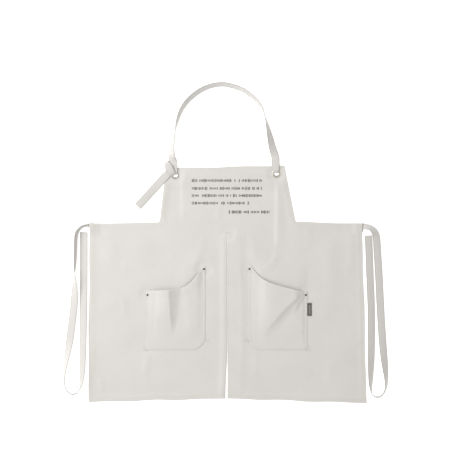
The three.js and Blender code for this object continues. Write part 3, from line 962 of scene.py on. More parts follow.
def hemmed(x, y, base, hems, outline):
    """Back and front of cloth that is turned over along hems, each a line and its width."""
    ridge = np.zeros_like(x)
    tucked = np.zeros(x.shape, bool)
    pull = np.zeros_like(x)
    for line, width in hems:
        reach = np.abs(to_line(x, y, line)[0])
        ridge = np.maximum(ridge, HEM_EXTRA * smooth(width + HEM_FALL, width - 3 * MM, reach))
        tucked |= reach <= width + 0.2 * MM
        seam = reach - (width - STITCH_INSET)
        pull += SEAM_DIP * np.exp(-(seam / SEAM_DIP_WIDTH) ** 2)
        pull -= PUCKER * ripple(x, y) * np.exp(-(seam / PUCKER_WIDTH) ** 2)
    front = base + CLOTH + ridge - pull
    back = base + np.where(tucked, 0, ridge)
    away = np.abs(to_line(x, y, outline)[0])
    full = np.sqrt(np.clip(1 - (1 - np.clip(away / EDGE_ROUND, 0, 1)) ** 2, 0.03, 1))
    centre = (front + back) / 2
    half = (front - back) / 2 * full
    return centre - half, centre + half


BASE_CANVAS = canvas("canvas", CLOTH_PALE, CLOTH_DEEP, False)
print("canvas:", len(BASE_CANVAS.node_tree.nodes), "nodes")

# %% [markdown]
# ## Legs
# The skirt is one width split up the middle. Each leg is hemmed below and at its sides, and the right
# one has a wide facing along the slit.

# %% Legs
HALF_WIDTH = 445 * MM
TOP_X = {"left": -441.5 * MM, "right": 431 * MM}
HEM_Y = {"left": -376 * MM, "right": -380 * MM}
SLIT_HEM_Y = -365 * MM
HEM_WIDTH = PLAIN_HEM * MM
FACING_HEM = 46
HEM_WAVER = 1.6 * MM
SIDE_WAVER = 1.2 * MM
BURR_ROOM = 0.6 * MM


def leg_edges(side, count=60):
    """The slit edge, the hem and the outer edge of a leg, as lines."""
    way = -1 if side == "left" else 1
    y = np.linspace(FOLD_Y, SLIT_HEM_Y, count)
    slit = np.column_stack([slit_edge(way, y), y])
    share = np.linspace(0, 1, count)
    outer_hem = np.array([way * HALF_WIDTH, HEM_Y[side]])
    hem = slit[-1] + (outer_hem - slit[-1]) * share[:, None]
    hem[:, 1] += HEM_WAVER * np.sin(share * math.pi) * np.sin(share * 17 + way)
    top = np.array([TOP_X[side], FOLD_Y])
    outer = outer_hem + (top - outer_hem) * share[:, None]
    outer[:, 0] += SIDE_WAVER * np.sin(share * math.pi) * np.sin(share * 13 + way)
    return slit, hem, outer


def slit_hem(side):
    """Width in millimetres of the hem along the slit."""
    return FACING_HEM if side == "right" else PLAIN_HEM


def make_leg(side):
    """One leg of the skirt, and the function that gives its heights."""
    way = -1 if side == "left" else 1
    slit, hem, outer = leg_edges(side)
    facing = slit_hem(side)
    across = lines(0, HALF_WIDTH, (facing,), (PLAIN_HEM,))
    down = lines(0, FOLD_Y - SLIT_HEM_Y, (), (PLAIN_HEM,))
    s, t = np.meshgrid(across, down)
    drop = t / (FOLD_Y - SLIT_HEM_Y)
    inner_x = np.interp(drop, np.linspace(0, 1, len(slit)), slit[:, 0])
    outer_x = np.interp(1 - drop, np.linspace(0, 1, len(outer)), outer[:, 0])
    length = np.abs(outer_x - inner_x)
    # Hem lines keep their true distance from both edges; the even part between takes the difference.
    near, far = s, HALF_WIDTH - s
    blend_share = smooth(0.25, 0.75, s / HALF_WIDTH)
    x = inner_x + way * (near * (1 - blend_share) + (length - far) * blend_share)
    hem_share = np.abs(x - inner_x) / length
    hem_y = np.interp(hem_share, np.linspace(0, 1, len(hem)), hem[:, 1])
    rise = smooth(0.35, 0.97, drop)
    y = FOLD_Y - t + rise * (hem_y - SLIT_HEM_Y)
    layout = Layout()
    layout.patch(x, y)
    hems = [(slit, facing * MM), (hem, HEM_WIDTH), (outer, HEM_WIDTH)]
    outline = np.vstack([slit, hem[1:], outer[1:]])

    def heights(px, py):
        base = lie(px, py) + (slit_roll(px, py) if side == "left" else 0)
        back, front = hemmed(px, py, base, hems, outline)
        for cx, cy, _ in RIVETS:
            back = back + BURR_ROOM * smooth(8 * MM, 4.5 * MM, np.hypot(px - cx, py - cy))
        return back, front

    return cloth_shell(f"{side}_leg_cloth", layout, heights, BASE_CANVAS), heights


left_leg, left_leg_heights = make_leg("left")
right_leg, right_leg_heights = make_leg("right")
print("legs", len(left_leg.data.polygons), "and", len(right_leg.data.polygons), "faces")

# %% [markdown]
# ## Bib and wings
# The bib stands on the waist between two wings. Its deep top hem carries the eyelets.

# %% Bib outline
BIB_TOP = [(-197, 372), (182, 380)]
BIB_FOOT = [(-217, 205), (217, 205)]
WAIST_Y = 196
WING_CURVE = 7
WING_SLOPE = {"left": 3, "right": 5}
TOP_HEM = 34
TOP_WAVER = 1.4 * MM


def bib_side(side, y):
    """x of a bib side at a height, on its straight line."""
    k = 0 if side == "left" else 1
    (top_x, top_y), (foot_x, foot_y) = BIB_TOP[k], BIB_FOOT[k]
    return (foot_x + (top_x - foot_x) * (y / MM - foot_y) / (top_y - foot_y)) * MM


def wing_top(side, x):
    """y of a wing's top edge: nearly level, with a short curve up into the bib's side."""
    foot_x, foot_y = BIB_FOOT[0 if side == "left" else 1]
    gap = np.abs(x / MM - foot_x)
    lift = np.clip(1 - gap / WING_CURVE, 0, 1)
    slope = WING_SLOPE[side]
    settle = smooth(150, 0, gap)
    return (WAIST_Y + slope * settle + (foot_y - WAIST_Y - slope) * lift**2.6) * MM


def bib_outline():
    """From the left wing's outer end, over the bib, to the right wing's outer end."""
    left_foot, right_foot = BIB_FOOT[0][0] * MM, BIB_FOOT[1][0] * MM
    left_x = np.concatenate([np.linspace(TOP_X["left"], left_foot - 10 * MM, 30),
                             left_foot - np.linspace(9, 0, 12) * MM])
    right_x = np.concatenate([right_foot + np.linspace(0, 9, 12) * MM,
                              np.linspace(right_foot + 10 * MM, TOP_X["right"], 30)])
    left = np.column_stack([left_x, wing_top("left", left_x)])
    right = np.column_stack([right_x, wing_top("right", right_x)])
    share = np.linspace(0, 1, 40)[:, None]
    top = np.array(BIB_TOP[0]) * MM * (1 - share) + np.array(BIB_TOP[1]) * MM * share
    top[:, 1] += TOP_WAVER * np.sin(share[:, 0] * math.pi) * np.sin(share[:, 0] * 12)
    return left, top, right


print("bib outline:", sum(len(line) for line in bib_outline()), "places")

# %% Bib and wings
EYELET_HOLE = 9.6 * MM
BIB_RISE = 171 * MM


def make_bib():
    """The flat layout of bib and wings, the function that gives its heights, and its hems."""
    left_wing, top_line, right_wing = bib_outline()
    low = FOLD_Y
    foot = BIB_FOOT[0][1] * MM
    span = foot - low
    rows = lines(0, span, (), (PLAIN_HEM,)) / span
    layout = Layout()
    for side, way in (("left", -1), ("right", 1)):
        foot_x = BIB_FOOT[0 if side == "left" else 1][0] * MM
        width = abs(TOP_X[side] - foot_x)
        columns = lines(0, width, (), (PLAIN_HEM,))
        curve = np.linspace(0, 9, 7) * MM
        columns = np.unique(np.round(np.concatenate([curve, columns[columns > 11 * MM]]), 7))
        xs, shares = np.meshgrid(foot_x + way * columns, rows)
        layout.patch(xs, low + shares * (wing_top(side, xs) - low))
    width = (BIB_FOOT[1][0] - BIB_FOOT[0][0]) * MM
    columns = lines(0, width, (PLAIN_HEM,), (PLAIN_HEM,)) / width
    us, ys = np.meshgrid(columns, low + rows * span)
    left_foot, right_foot = BIB_FOOT[0][0] * MM, BIB_FOOT[1][0] * MM
    layout.patch(left_foot + us * (right_foot - left_foot), ys)
    high_rows = lines(0, BIB_RISE, (), (TOP_HEM,)) / BIB_RISE
    us, vs = np.meshgrid(columns, high_rows)
    tops = np.interp(us, np.linspace(0, 1, len(top_line)), top_line[:, 1])
    ys = foot + vs * (tops - foot)
    lefts, rights = bib_side("left", ys), bib_side("right", ys)
    layout.patch(lefts + us * (rights - lefts), ys)
    for centre in (EYELET_LEFT, EYELET_RIGHT):
        layout.pierce(centre[:2], EYELET_HOLE)
    left_side = np.array([left_wing[-1], top_line[0]])
    right_side = np.array([top_line[-1], right_wing[0]])
    outer_left = np.array([(TOP_X["left"], low), left_wing[0]])
    outer_right = np.array([right_wing[-1], (TOP_X["right"], low)])
    hems = [(line, HEM_WIDTH) for line in (outer_left, left_wing, left_side)]
    hems += [(top_line, TOP_HEM * MM)]
    hems += [(line, HEM_WIDTH) for line in (right_side, right_wing, outer_right)]
    outline = np.vstack([outer_left, left_wing, top_line, right_wing, outer_right])

    def heights(x, y):
        return hemmed(x, y, lie(x, y), hems, outline)

    return layout, heights, hems


bib_layout, bib_heights, BIB_HEMS = make_bib()
print("bib layout:", len(bib_layout.quads), "quads")

# %% [markdown]
# ## Printed rows
# The bib carries five printed rows. Here they are plain dashes, with no letters in them. A row says
# how high it sits and how far it runs. White noise makes the dashes uneven and leaves some out.

# %% Ink mask and bib
INK_ROWS = [(332, -114, 110), (307, -114, 110), (284, -114, 111), (260, -114, 70), (231.5, 4, 136)]
INK_TALL = 10.5 * MM
INK_PITCH = 4.7 * MM
DASH_LEAST, DASH_SPREAD, DASH_MISSING = 0.42, 0.45, 0.14
INK_LEAST, INK_SPREAD = 0.66, 0.2


def ink_rows(shader, x, y):
    """How much ink there is: each dash has its own width and height, and some are left out."""
    mask = shader.noise(shader.object_place()[0], 1, 0) * 0
    for number, (row_y, start, end) in enumerate(INK_ROWS):
        cell = (x - start * MM) / INK_PITCH
        draws = []
        for salt in (0, 7):
            key = shader.node("ShaderNodeCombineXYZ", inputs=[cell.floor(), number * 1.0 + salt, 0.0])
            draws.append(shader.node("ShaderNodeTexWhiteNoise", inputs={"Vector": key}, output="Value"))
        tall = (draws[1] * 0.5 + 0.5) * (INK_TALL / 2)
        inside = ((y - row_y * MM).abs() < tall) * (x > start * MM) * (x < end * MM)
        dash = (cell.fract() < DASH_LEAST + draws[0] * DASH_SPREAD) * (draws[0] > DASH_MISSING)
        mask = mask + inside * dash
    worn = shader.noise(shader.object_place()[0], 900, 2).ramp(0.25, 0.5)
    return mask * (INK_LEAST + worn * INK_SPREAD)


BIB_CANVAS = canvas("printed canvas", CLOTH_PALE, CLOTH_DEEP, False, ink_rows)
bib = cloth_shell("bib_cloth", bib_layout, bib_heights, BIB_CANVAS)
print("bib", len(bib.data.polygons), "faces")

# %% [markdown]
# ## Pockets
# Each pocket is one layer, sewn to its leg along its foot and both sides, with a slack mouth that has
# slumped into folds. The left one bulges at its outer side and drops into a deep upright fold. The
# right one has a slanting fold from its outer rivet down to its foot. Both shapes are heights over
# the leg.

# %% Shape of the pockets
POCKET_CORNERS = {"inner": 44 * MM, "outer": 10 * MM}
POCKET_SEAT = CLOTH + 0.15 * MM
# Two rows of thread run along the seam, this far in from the pocket's edge.
POCKET_ROWS = (2.2 * MM, 9 * MM)


def pocket_foot(share):
    """The lower edge, with its two rounded corners."""
    def corner(radius, run):
        inside = np.clip(radius - run, 0, radius)
        return radius - np.sqrt(radius**2 - inside**2)
    run = share * POCKET_WIDTH
    inner = corner(POCKET_CORNERS["inner"], run)
    outer = corner(POCKET_CORNERS["outer"], POCKET_WIDTH - run)
    return POCKET_FOOT + inner + outer


def sharp_fall(t):
    """Starts down at once and lands softly."""
    return 1 - (1 - np.clip(t, 0, 1)) ** 1.5


# The two functions below take and give millimetres, and their numbers are places on the apron.
def left_rise(x, y):
    """Rise over the leg: a bulge at the outer side, a deep upright fall, and a low slack rest."""
    climb = smooth(-222, -30, y)
    bulge = 15.5 * climb * smooth(-268, -192, x) * smooth(-76, -150, x)
    bulge = bulge - 0.9 * np.exp(-((x + 234 - 0.1 * (y + 90)) / 7) ** 2) * climb
    deep = np.clip((y + 176) / 164, 0, 1)
    start = -177 - 12 * deep
    end = start + 8 + 36 * deep
    fall = sharp_fall((x - start) / (end - start)) * smooth(0, 0.34, deep)
    slack = np.sin(math.pi * np.clip((x + 152) / 76, 0, 1)) ** 2
    low = (1.6 + 2.2 * slack) * smooth(-205, -120, y) * smooth(-77, -98, x)
    crease = 0.3 * np.exp(-((x + 128 + 0.1 * (y + 60)) / 9) ** 2) * smooth(-200, -150, y)
    mouth_lift = 2.6 * smooth(-60, 30, y) * smooth(-77, -100, x) * smooth(-165, -130, x)
    return np.maximum(bulge * (1 - fall) + low * fall + crease * fall + mouth_lift, 0)


RIGHT_FOLD = [(250, -18), (239, -30), (216, -48), (191, -70), (170, -92), (154, -112), (132, -137),
              (115, -158), (103, -184), (103, -212)]
SECOND_FOLD = [(243, -32), (226, -62), (206, -96)]


def right_rise(x, y):
    """Rise over the leg: slack above the slanting fold, and a low rest with a second crease below it."""
    climb = smooth(-222, -60, y)
    slack = 11.5 * climb * smooth(70, 140, x) * smooth(256, 214, x)
    slack = slack + 0.8 * np.exp(-((x - 121) / 7) ** 2) * climb * smooth(-90, -30, y)
    slack = slack - 0.8 * np.exp(-((x - 100) / 9) ** 2) * climb
    beyond, share = to_line(x, y, RIGHT_FOLD)
    beyond = -beyond
    fall = sharp_fall(beyond / (19 + 8 * np.sin(share * math.pi))) * smooth(1.0, 0.72, share)
    low = (1.8 + 1.4 * np.exp(-((x - 205) / 30) ** 2 - ((y + 120) / 50) ** 2)) * smooth(-206, -150, y)
    low = low * smooth(251, 236, x)
    second, second_share = to_line(x, y, SECOND_FOLD)
    run = -second
    ridge = np.where(run < 0, np.exp(-(run / 12) ** 2), np.exp(-(run / 6) ** 2))
    crease = 2.6 * ridge * smooth(0, 0.2, second_share) * smooth(1, 0.6, second_share)
    return np.maximum(slack * (1 - fall) + (low + crease) * fall, 0)


RISES = {"left": left_rise, "right": right_rise}
print("rises of", " and ".join(RISES), "pocket")

# %% Pocket cloth
MOUTH_HEM = 13
CLIMB = 0.25
RIM_DROP = 0.75 * MM


def dent(away, depth, width):
    """A smooth groove: its depth at its middle, where away is 0."""
    return depth * np.exp(-(away / width) ** 2)


def make_pocket(side):
    """A pocket's cloth, the function that gives its heights, its mouth and its seam."""
    pocket = POCKETS[side]
    way, inner = pocket["way"], pocket["inner"]
    shares = lines(0, POCKET_WIDTH, (PLAIN_HEM,), (PLAIN_HEM,)) / POCKET_WIDTH
    climbs = lines(0, CLIMB, (), (MOUTH_HEM,)) / CLIMB
    climbs = np.unique(np.round(np.concatenate([[0, 0.002, 0.005, 0.011], climbs]), 6))
    shares = np.unique(np.round(np.concatenate([shares, np.linspace(0.05, 0.95, 70)]), 4))
    s, t = np.meshgrid(shares, climbs)
    x = inner + way * s * POCKET_WIDTH
    y = pocket_foot(s) + t * (mouth_y(side, s) - pocket_foot(s))
    layout = Layout()
    layout.patch(x, y)
    fine = np.linspace(0, 1, 120)
    mouth = np.column_stack([inner + way * fine * POCKET_WIDTH, mouth_y(side, fine)])
    # The foot's places are closest round its two corners.
    stretches = ((0, 0.23, 60), (0.24, 0.94, 20), (0.945, 1, 20))
    rounded = np.concatenate([np.linspace(*stretch) for stretch in stretches])
    foot = np.column_stack([inner + way * rounded * POCKET_WIDTH, pocket_foot(rounded)])
    seam = np.vstack([mouth[:1], foot, mouth[-1:]])
    outline = np.vstack([seam, mouth[::-1]])
    rise = RISES[side]

    def heights(px, py):
        away = np.abs(to_line(px, py, seam)[0])
        sewn = smooth(3 * MM, 16 * MM, away)
        base = lie(px, py) + POCKET_SEAT + rise(px / MM, py / MM) * MM * sewn
        back, front = hemmed(px, py, base, [(mouth, MOUTH_HEM * MM)], outline)
        near, far = POCKET_ROWS
        tuck = dent(away - near, 0.12 * MM, 1.2 * MM) + dent(away - far, 0.22 * MM, 1.4 * MM)
        pucker = ripple(px, py) * dent(away - far, 0.16 * MM, PUCKER_WIDTH)
        rim = RIM_DROP * smooth(4.5 * MM, 0.2 * MM, away)
        return back, front - tuck + pucker - rim

    piece = cloth_shell(f"{side}_pocket_cloth", layout, heights, BASE_CANVAS)
    return piece, heights, mouth, seam


pocket_parts = {side: make_pocket(side) for side in POCKETS}
for side, parts in pocket_parts.items():
    print(side, "pocket", len(parts[0].data.polygons), "faces")

# %% [markdown]
# ## Stitches
# Every hem and seam shows a row of thread. A Geometry Nodes tree makes a row from any polyline: it
# resamples the line at the pitch, sets one short grain of thread on each point, and turns it along
# the line and up with the cloth. A random size and a fixed seed keep the rows from looking drawn.

# %% The stitch tree
STITCH_PITCH = 3.8 * MM
STITCH_LENGTH = 3.0 * MM
STITCH_THICKNESS = 0.8 * MM
STITCH_CHANCE = (0.86, 1.08)


def thread_material():
    """Matt cotton thread with a fine twist."""
    shader = Shader("seam thread")
    place, axes = shader.object_place()
    twist = ((axes[0] + axes[1] * 0.7) * 9000).sin() * 0.5 + 0.5
    tone = shader.noise(place, 60, 2)
    colour = shader.mix(tone.ramp(0.3, 0.7), (0.69, 0.665, 0.615, 1), (0.78, 0.755, 0.7, 1))
    return shader.set(Base_Color=colour, Roughness=0.6 + tone * 0.15, Specular_IOR_Level=0.3,
                      Normal=shader.bump(twist, 0.05 * MM, 0.5))


def stitch_tree():
    """The node tree that turns rows of edges into grains of thread."""
    tree = bpy.data.node_groups.new("stitch row", "GeometryNodeTree")
    face = tree.interface
    face.new_socket("Rows", in_out="INPUT", socket_type="NodeSocketGeometry")
    for name, kind, value in (("Pitch", "Float", STITCH_PITCH), ("Length", "Float", STITCH_LENGTH),
                              ("Thickness", "Float", STITCH_THICKNESS), ("Seed", "Int", 5)):
        face.new_socket(name, in_out="INPUT", socket_type=f"NodeSocket{kind}").default_value = value
    face.new_socket("Thread", in_out="INPUT", socket_type="NodeSocketMaterial")
    face.new_socket("Stitches", in_out="OUTPUT", socket_type="NodeSocketGeometry")

    def node(kind, settings=None, **links):
        made = tree.nodes.new(kind)
        for key, value in (settings or {}).items():
            setattr(made, key, value)
        for key, value in links.items():
            socket = made.inputs[key.replace("_", " ")]
            if isinstance(value, bpy.types.NodeSocket):
                tree.links.new(value, socket)
            else:
                socket.default_value = value
        return made

    given = node("NodeGroupInput").outputs
    curve = node("GeometryNodeMeshToCurve", Mesh=given["Rows"])
    spaced = node("GeometryNodeResampleCurve", {"mode": "LENGTH"}, Curve=curve.outputs[0],
                  Length=given["Pitch"])
    grain = node("GeometryNodeMeshUVSphere", Segments=6, Rings=4, Radius=0.5)
    soft = node("GeometryNodeSetShadeSmooth", Geometry=grain.outputs[0])
    up = node("GeometryNodeInputNamedAttribute", {"data_type": "FLOAT_VECTOR"}, Name="up")
    tangent = node("GeometryNodeInputTangent")
    along = node("FunctionNodeAlignRotationToVector", {"axis": "X"}, Vector=tangent.outputs[0])
    level = node("FunctionNodeAlignRotationToVector", {"axis": "Z", "pivot_axis": "X"},
                 Rotation=along.outputs[0], Vector=up.outputs[0])
    chance = node("FunctionNodeRandomValue", {"data_type": "FLOAT"}, Seed=given["Seed"])
    chance.inputs[2].default_value, chance.inputs[3].default_value = STITCH_CHANCE
    long = node("ShaderNodeMath", {"operation": "MULTIPLY"})
    tree.links.new(given["Length"], long.inputs[0])
    tree.links.new(chance.outputs[1], long.inputs[1])
    size = node("ShaderNodeCombineXYZ", X=long.outputs[0], Y=given["Thickness"], Z=given["Thickness"])
    placed = node("GeometryNodeInstanceOnPoints", Points=spaced.outputs[0], Instance=soft.outputs[0],
                  Rotation=level.outputs[0], Scale=size.outputs[0])
    real = node("GeometryNodeRealizeInstances", Geometry=placed.outputs[0])
    dressed = node("GeometryNodeSetMaterial", Geometry=real.outputs[0], Material=given["Thread"])
    node("NodeGroupOutput", Stitches=dressed.outputs[0])
    return tree


STITCHES = stitch_tree()
THREAD = thread_material()
print("stitch tree:", len(STITCHES.nodes), "nodes")

# %% Sewing a set of rows
def sew(name, rows):
    """One mesh of stitches from rows, each a pair of points and up vectors."""
    points = np.vstack([row for row, _ in rows])
    ups = np.vstack([up for _, up in rows])
    edges, base = [], 0
    for row, _ in rows:
        edges += [(base + i, base + i + 1) for i in range(len(row) - 1)]
        base += len(row)
    mesh = bpy.data.meshes.new(f"{name}_rows")
    mesh.from_pydata([tuple(p) for p in points], edges, [])
    held = mesh.attributes.new("up", "FLOAT_VECTOR", "POINT")
    held.data.foreach_set("vector", ups.astype(np.float32).ravel())
    piece = bpy.data.objects.new(name, mesh)
    bpy.context.collection.objects.link(piece)
    maker = piece.modifiers.new("stitches", "NODES")
    maker.node_group = STITCHES
    values = {"Pitch": STITCH_PITCH, "Length": STITCH_LENGTH, "Thickness": STITCH_THICKNESS,
              "Seed": len(rows), "Thread": THREAD}
    for socket in STITCHES.interface.items_tree:
        if socket.in_out == "INPUT" and socket.name in values:
            maker[socket.identifier] = values[socket.name]
    graph = bpy.context.evaluated_depsgraph_get()
    made = bpy.data.meshes.new_from_object(piece.evaluated_get(graph))
    piece.modifiers.remove(maker)
    piece.data = made
    made.name = name
    print(name, len(made.polygons), "faces")
    return piece


# %% Where rows run
THREAD_LIFT = 0.12 * MM
STRAP_ROW_SEAT = 0.42


def softened(line, spacing):
    """A flat line through the same places, resampled with soft corners."""
    return through([(x, y, 0) for x, y in line], spacing)[0][:, :2]


def inset(line, distance):
    """A line moved sideways, to its right where the distance is positive."""
    line = np.asarray(line, float)
    ahead = unit(np.gradient(line, axis=0))
    return line + np.column_stack([ahead[:, 1], -ahead[:, 0]]) * distance


def on_cloth(line, heights, trim=0.0):
    """A row on a cloth's front: the flat line, resampled and lifted to the cloth's height."""
    samples, run = through([(x, y, 0) for x, y in line], 2 * MM)
    kept = (run >= trim) & (run <= run[-1] - trim)
    x, y = samples[kept, 0], samples[kept, 1]
    _, front = heights(x, y)
    return np.column_stack([x, y, front + THREAD_LIFT]), np.tile((0, 0, 1.0), (len(x), 1))


def on_strap(shell, centres, widths, first=0, last=None):
    """The four rows of a strap: both edges, on both faces."""
    _, _, _, sides, normals = shell
    chosen = slice(first, last)
    rows = []
    for face in (1, -1):
        for edge in (1, -1):
            reach = sides * (edge * SEAM_SHARE * widths / 2)[:, None]
            row = centres + reach + normals * face * STRAP_THICKNESS * STRAP_ROW_SEAT
            rows.append((row[chosen], (normals * face)[chosen]))
    return rows


def straight(a, b):
    """A straight line of twelve places between two that are given in millimetres."""
    share = np.linspace(0, 1, 12)[:, None]
    return np.array(a) * MM * (1 - share) + np.array(b) * MM * share


# %% Rows on the bib
HEM_TRIM = 3 * MM
TOP_EDGE_ROW = 2 * MM
PAD_HALF = 9
TOP_HEM_LINE = BIB_HEMS[3][0]
bib_rows = []
for line, width in BIB_HEMS:
    row = inset(softened(line, 6 * MM), width - STITCH_INSET)
    bib_rows.append(on_cloth(row, bib_heights, HEM_TRIM))
bib_rows.append(on_cloth(inset(softened(TOP_HEM_LINE, 6 * MM), TOP_EDGE_ROW), bib_heights, HEM_TRIM))
# Each tie is sewn on with a square and its two diagonals.
for cx, cy in TIE_PADS:
    left, right = cx / MM - PAD_HALF, cx / MM + PAD_HALF
    low, high = cy / MM - PAD_HALF, cy / MM + PAD_HALF
    square = [(left, low), (right, low), (right, high), (left, high), (left, low)]
    for a, b in [*zip(square, square[1:]), (square[0], square[2]), (square[1], square[3])]:
        bib_rows.append(on_cloth(straight(a, b), bib_heights))
bib_stitches = sew("bib_stitches", bib_rows)

# %% Rows on legs and pockets
SLIT_EDGE_ROW = 2.2 * MM
SLIT_TRIM, SEAM_TRIM, MOUTH_TRIM = 8 * MM, 7 * MM, 10 * MM
FACING_TOP_ROW = ((8, 152), (44, 152))
leg_stitches = {}
for side, heights in (("left", left_leg_heights), ("right", right_leg_heights)):
    slit, hem, outer = leg_edges(side)
    turn = 1 if side == "left" else -1
    rows = [on_cloth(inset(slit, turn * (slit_hem(side) * MM - STITCH_INSET)), heights, SLIT_TRIM)]
    for line in (hem, outer):
        rows.append(on_cloth(inset(line, turn * (HEM_WIDTH - STITCH_INSET)), heights, HEM_TRIM))
    rows.append(on_cloth(inset(slit, turn * SLIT_EDGE_ROW), heights, SLIT_TRIM))
    if side == "right":
        rows.append(on_cloth(straight(*FACING_TOP_ROW), heights))
    _, pocket_heights, mouth, seam = pocket_parts[side]
    soft_seam = softened(seam, 5 * MM)
    for reach in POCKET_ROWS:
        rows.append(on_cloth(inset(soft_seam, turn * reach), pocket_heights, SEAM_TRIM))
    mouth_row = inset(mouth, -turn * (MOUTH_HEM * MM - STITCH_INSET))
    rows.append(on_cloth(mouth_row, pocket_heights, MOUTH_TRIM))
    leg_stitches[side] = sew(f"{side}_leg_stitches", rows)

# %% Rows on straps
neck_rows = on_strap(neck_shell, neck_path, neck_widths, first=10, last=-10)
neck_stitches = sew("neck_strap_stitches", neck_rows)
tail_rows = on_strap(tail_shell, tail_path, tail_widths, first=4, last=-1)
tail_stitches = sew("tail_stitches", tail_rows)
tie_stitches = {}
for side, shell, path, widths in (("left", left_tie_shell, left_tie_path, left_tie_widths),
                                  ("right", right_tie_shell, right_tie_path, right_tie_widths)):
    rows = on_strap(shell, path, widths, first=12, last=-1)
    tie_stitches[side] = sew(f"{side}_tie_stitches", rows)

# %% [markdown]
# ## Metal
# Nickel eyelets carry the strap, and small aged rivets hold the pocket corners. They are turned
# shapes: a profile of radius and height, swept round an upright axis.

# %% Metal finishes
def metal(name, bright, dark, roughness):
    """Worn metal: bright, with darker tarnish and fine scratches."""
    shader = Shader(name)
    place, _ = shader.object_place()
    tarnish = shader.noise(place, 420, 4, 0.6).ramp(0.35, 0.7)
    scratches = shader.noise(place, 3200, 2)
    return shader.set(Base_Color=shader.mix(tarnish, bright, dark), Metallic=1.0,
                      Roughness=roughness + tarnish * 0.18 + scratches * 0.1,
                      Normal=shader.bump(scratches, 0.03 * MM, 0.4))


NICKEL = metal("eyelet nickel", (0.74, 0.71, 0.64, 1), (0.5, 0.47, 0.41, 1), 0.24)
AGED = metal("rivet metal", (0.2, 0.17, 0.135, 1), (0.07, 0.06, 0.05, 1), 0.35)
print("metals:", NICKEL.name, "and", AGED.name)

# %% Turned pieces
TURNS = 40


def turned(name, profile, centre, material):
    """profile is radius and height in millimetres; it closes on itself, or on the axis where radius is 0."""
    points, rings = [], []
    for radius, height in profile:
        reach = radius * MM
        steps = TURNS if radius > 0 else 1
        rings.append([len(points) + k for k in range(steps)])
        for k in range(steps):
            angle = 2 * math.pi * k / TURNS
            x = centre[0] + reach * math.cos(angle)
            y = centre[1] + reach * math.sin(angle)
            points.append((x, y, height * MM))
    if profile[0][0] > 0:
        rings.append(rings[0])
    faces = []
    for lower, upper in zip(rings, rings[1:]):
        for k in range(TURNS):
            a, b = lower[k % len(lower)], lower[(k + 1) % len(lower)]
            c, d = upper[(k + 1) % len(upper)], upper[k % len(upper)]
            faces.append(tuple(dict.fromkeys((a, b, c, d))))
    centred = np.array(points) - np.array([*centre[:2], 0])
    return make_piece(name, points, outward(centred, faces), material)


FLANGE = [(6.5, 3.3), (7.3, 3.3), (7.3, 6.25), (12.2, 6.25), (12.5, 6.5), (12.4, 6.9), (11.7, 7.3),
          (10.4, 7.55), (8.8, 7.6), (7.6, 7.3), (6.8, 6.7), (6.5, 6.0)]
WASHER = [(7.6, 2.5), (11.9, 2.5), (12.4, 2.7), (12.5, 3.0), (12.2, 3.3), (7.6, 3.3)]
CAP = [(0, 0), (1.5, 0), (1.5, 2.7), (3.7, 2.7), (3.8, 2.95), (3.5, 3.6), (2.7, 4.15), (1.5, 4.45),
       (0, 4.5)]
BURR = [(1.8, 0), (3.4, 0), (3.5, 0.15), (3.4, 0.45), (1.9, 0.5)]
metal_pieces = {}
for side in POCKETS:
    metal_pieces[f"{side}_eyelet"] = ("apron_body", FLANGE, NICKEL, "eyelet_nickel")
    metal_pieces[f"{side}_eyelet_washer"] = ("apron_body", WASHER, NICKEL, "eyelet_nickel")
    for corner in ("inner", "outer"):
        metal_pieces[f"{side}_{corner}_rivet"] = (f"{side}_leg", CAP, AGED, "rivet_metal")
        metal_pieces[f"{side}_{corner}_burr"] = (f"{side}_leg", BURR, AGED, "rivet_metal")
for node, (body, profile, finish, slot_name) in metal_pieces.items():
    piece = turned(f"{node}_turned", profile, middle(node), finish)
    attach(piece, body)
    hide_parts(node)
print(len(metal_pieces), "turned pieces")

# %% [markdown]
# ## Tag, tie roots and bartack
# A small woven tag is caught in the right pocket's seam. It has plain stripes and no words. Behind the
# wings the ties end in flat roots. A bartack, a dense zigzag of thread, closes the top of the slit.

# %% Tag
def tag_material():
    """Dark ribbed weave with pale bars and a thin border line."""
    shader = Shader("woven tag")
    place, (x, y, _) = shader.object_place()
    low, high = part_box("woven_tag")
    along = (y - low[1]) / (high[1] - low[1])
    across = (x - low[0]) / (high[0] - low[0])
    rib = (y * (2 * math.pi / (0.7 * MM))).sin() * 0.5 + 0.5
    inside = ((across - 0.5).abs() < 0.26) * ((along - 0.5).abs() < 0.36)
    bars = ((along * 14).fract() < 0.42) * inside
    border = ((along - 0.5).abs() > 0.455) * ((along - 0.5).abs() < 0.475)
    pale = (bars * 0.75).maximum(border * 0.6)
    fuzz = shader.noise(place, 1500, 2)
    dark = shader.mix(fuzz, (0.085, 0.08, 0.075, 1), (0.125, 0.118, 0.108, 1))
    return shader.set(Base_Color=shader.mix(pale, dark, (0.5, 0.48, 0.44, 1)), Roughness=0.8 + fuzz * 0.1,
                      Normal=shader.bump(rib + fuzz * 0.4, 0.12 * MM, 0.7), Sheen_Weight=0.1)


TAG_TUCK = 1.2 * MM
TAG_THICKNESS = 0.9 * MM
tag_low, tag_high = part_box("woven_tag")
tag_columns = np.linspace(tag_low[0] - TAG_TUCK, tag_high[0], 14)
tag_rows = np.linspace(tag_low[1], tag_high[1], 34)
tag_layout = Layout()
tag_layout.patch(*np.meshgrid(tag_columns, tag_rows))


def tag_heights(x, y):
    """The tag's free end bends up from the leg."""
    share = (x - tag_low[0]) / (tag_high[0] - tag_low[0])
    bend = 0.5 * MM * smooth(0, 1, share) * (0.6 + 0.4 * np.sin(y / MM * 0.2))
    base = lie(x, y) + CLOTH + 0.2 * MM + bend + 0.2 * MM * smooth(0.1, 0, share)
    return base, base + TAG_THICKNESS


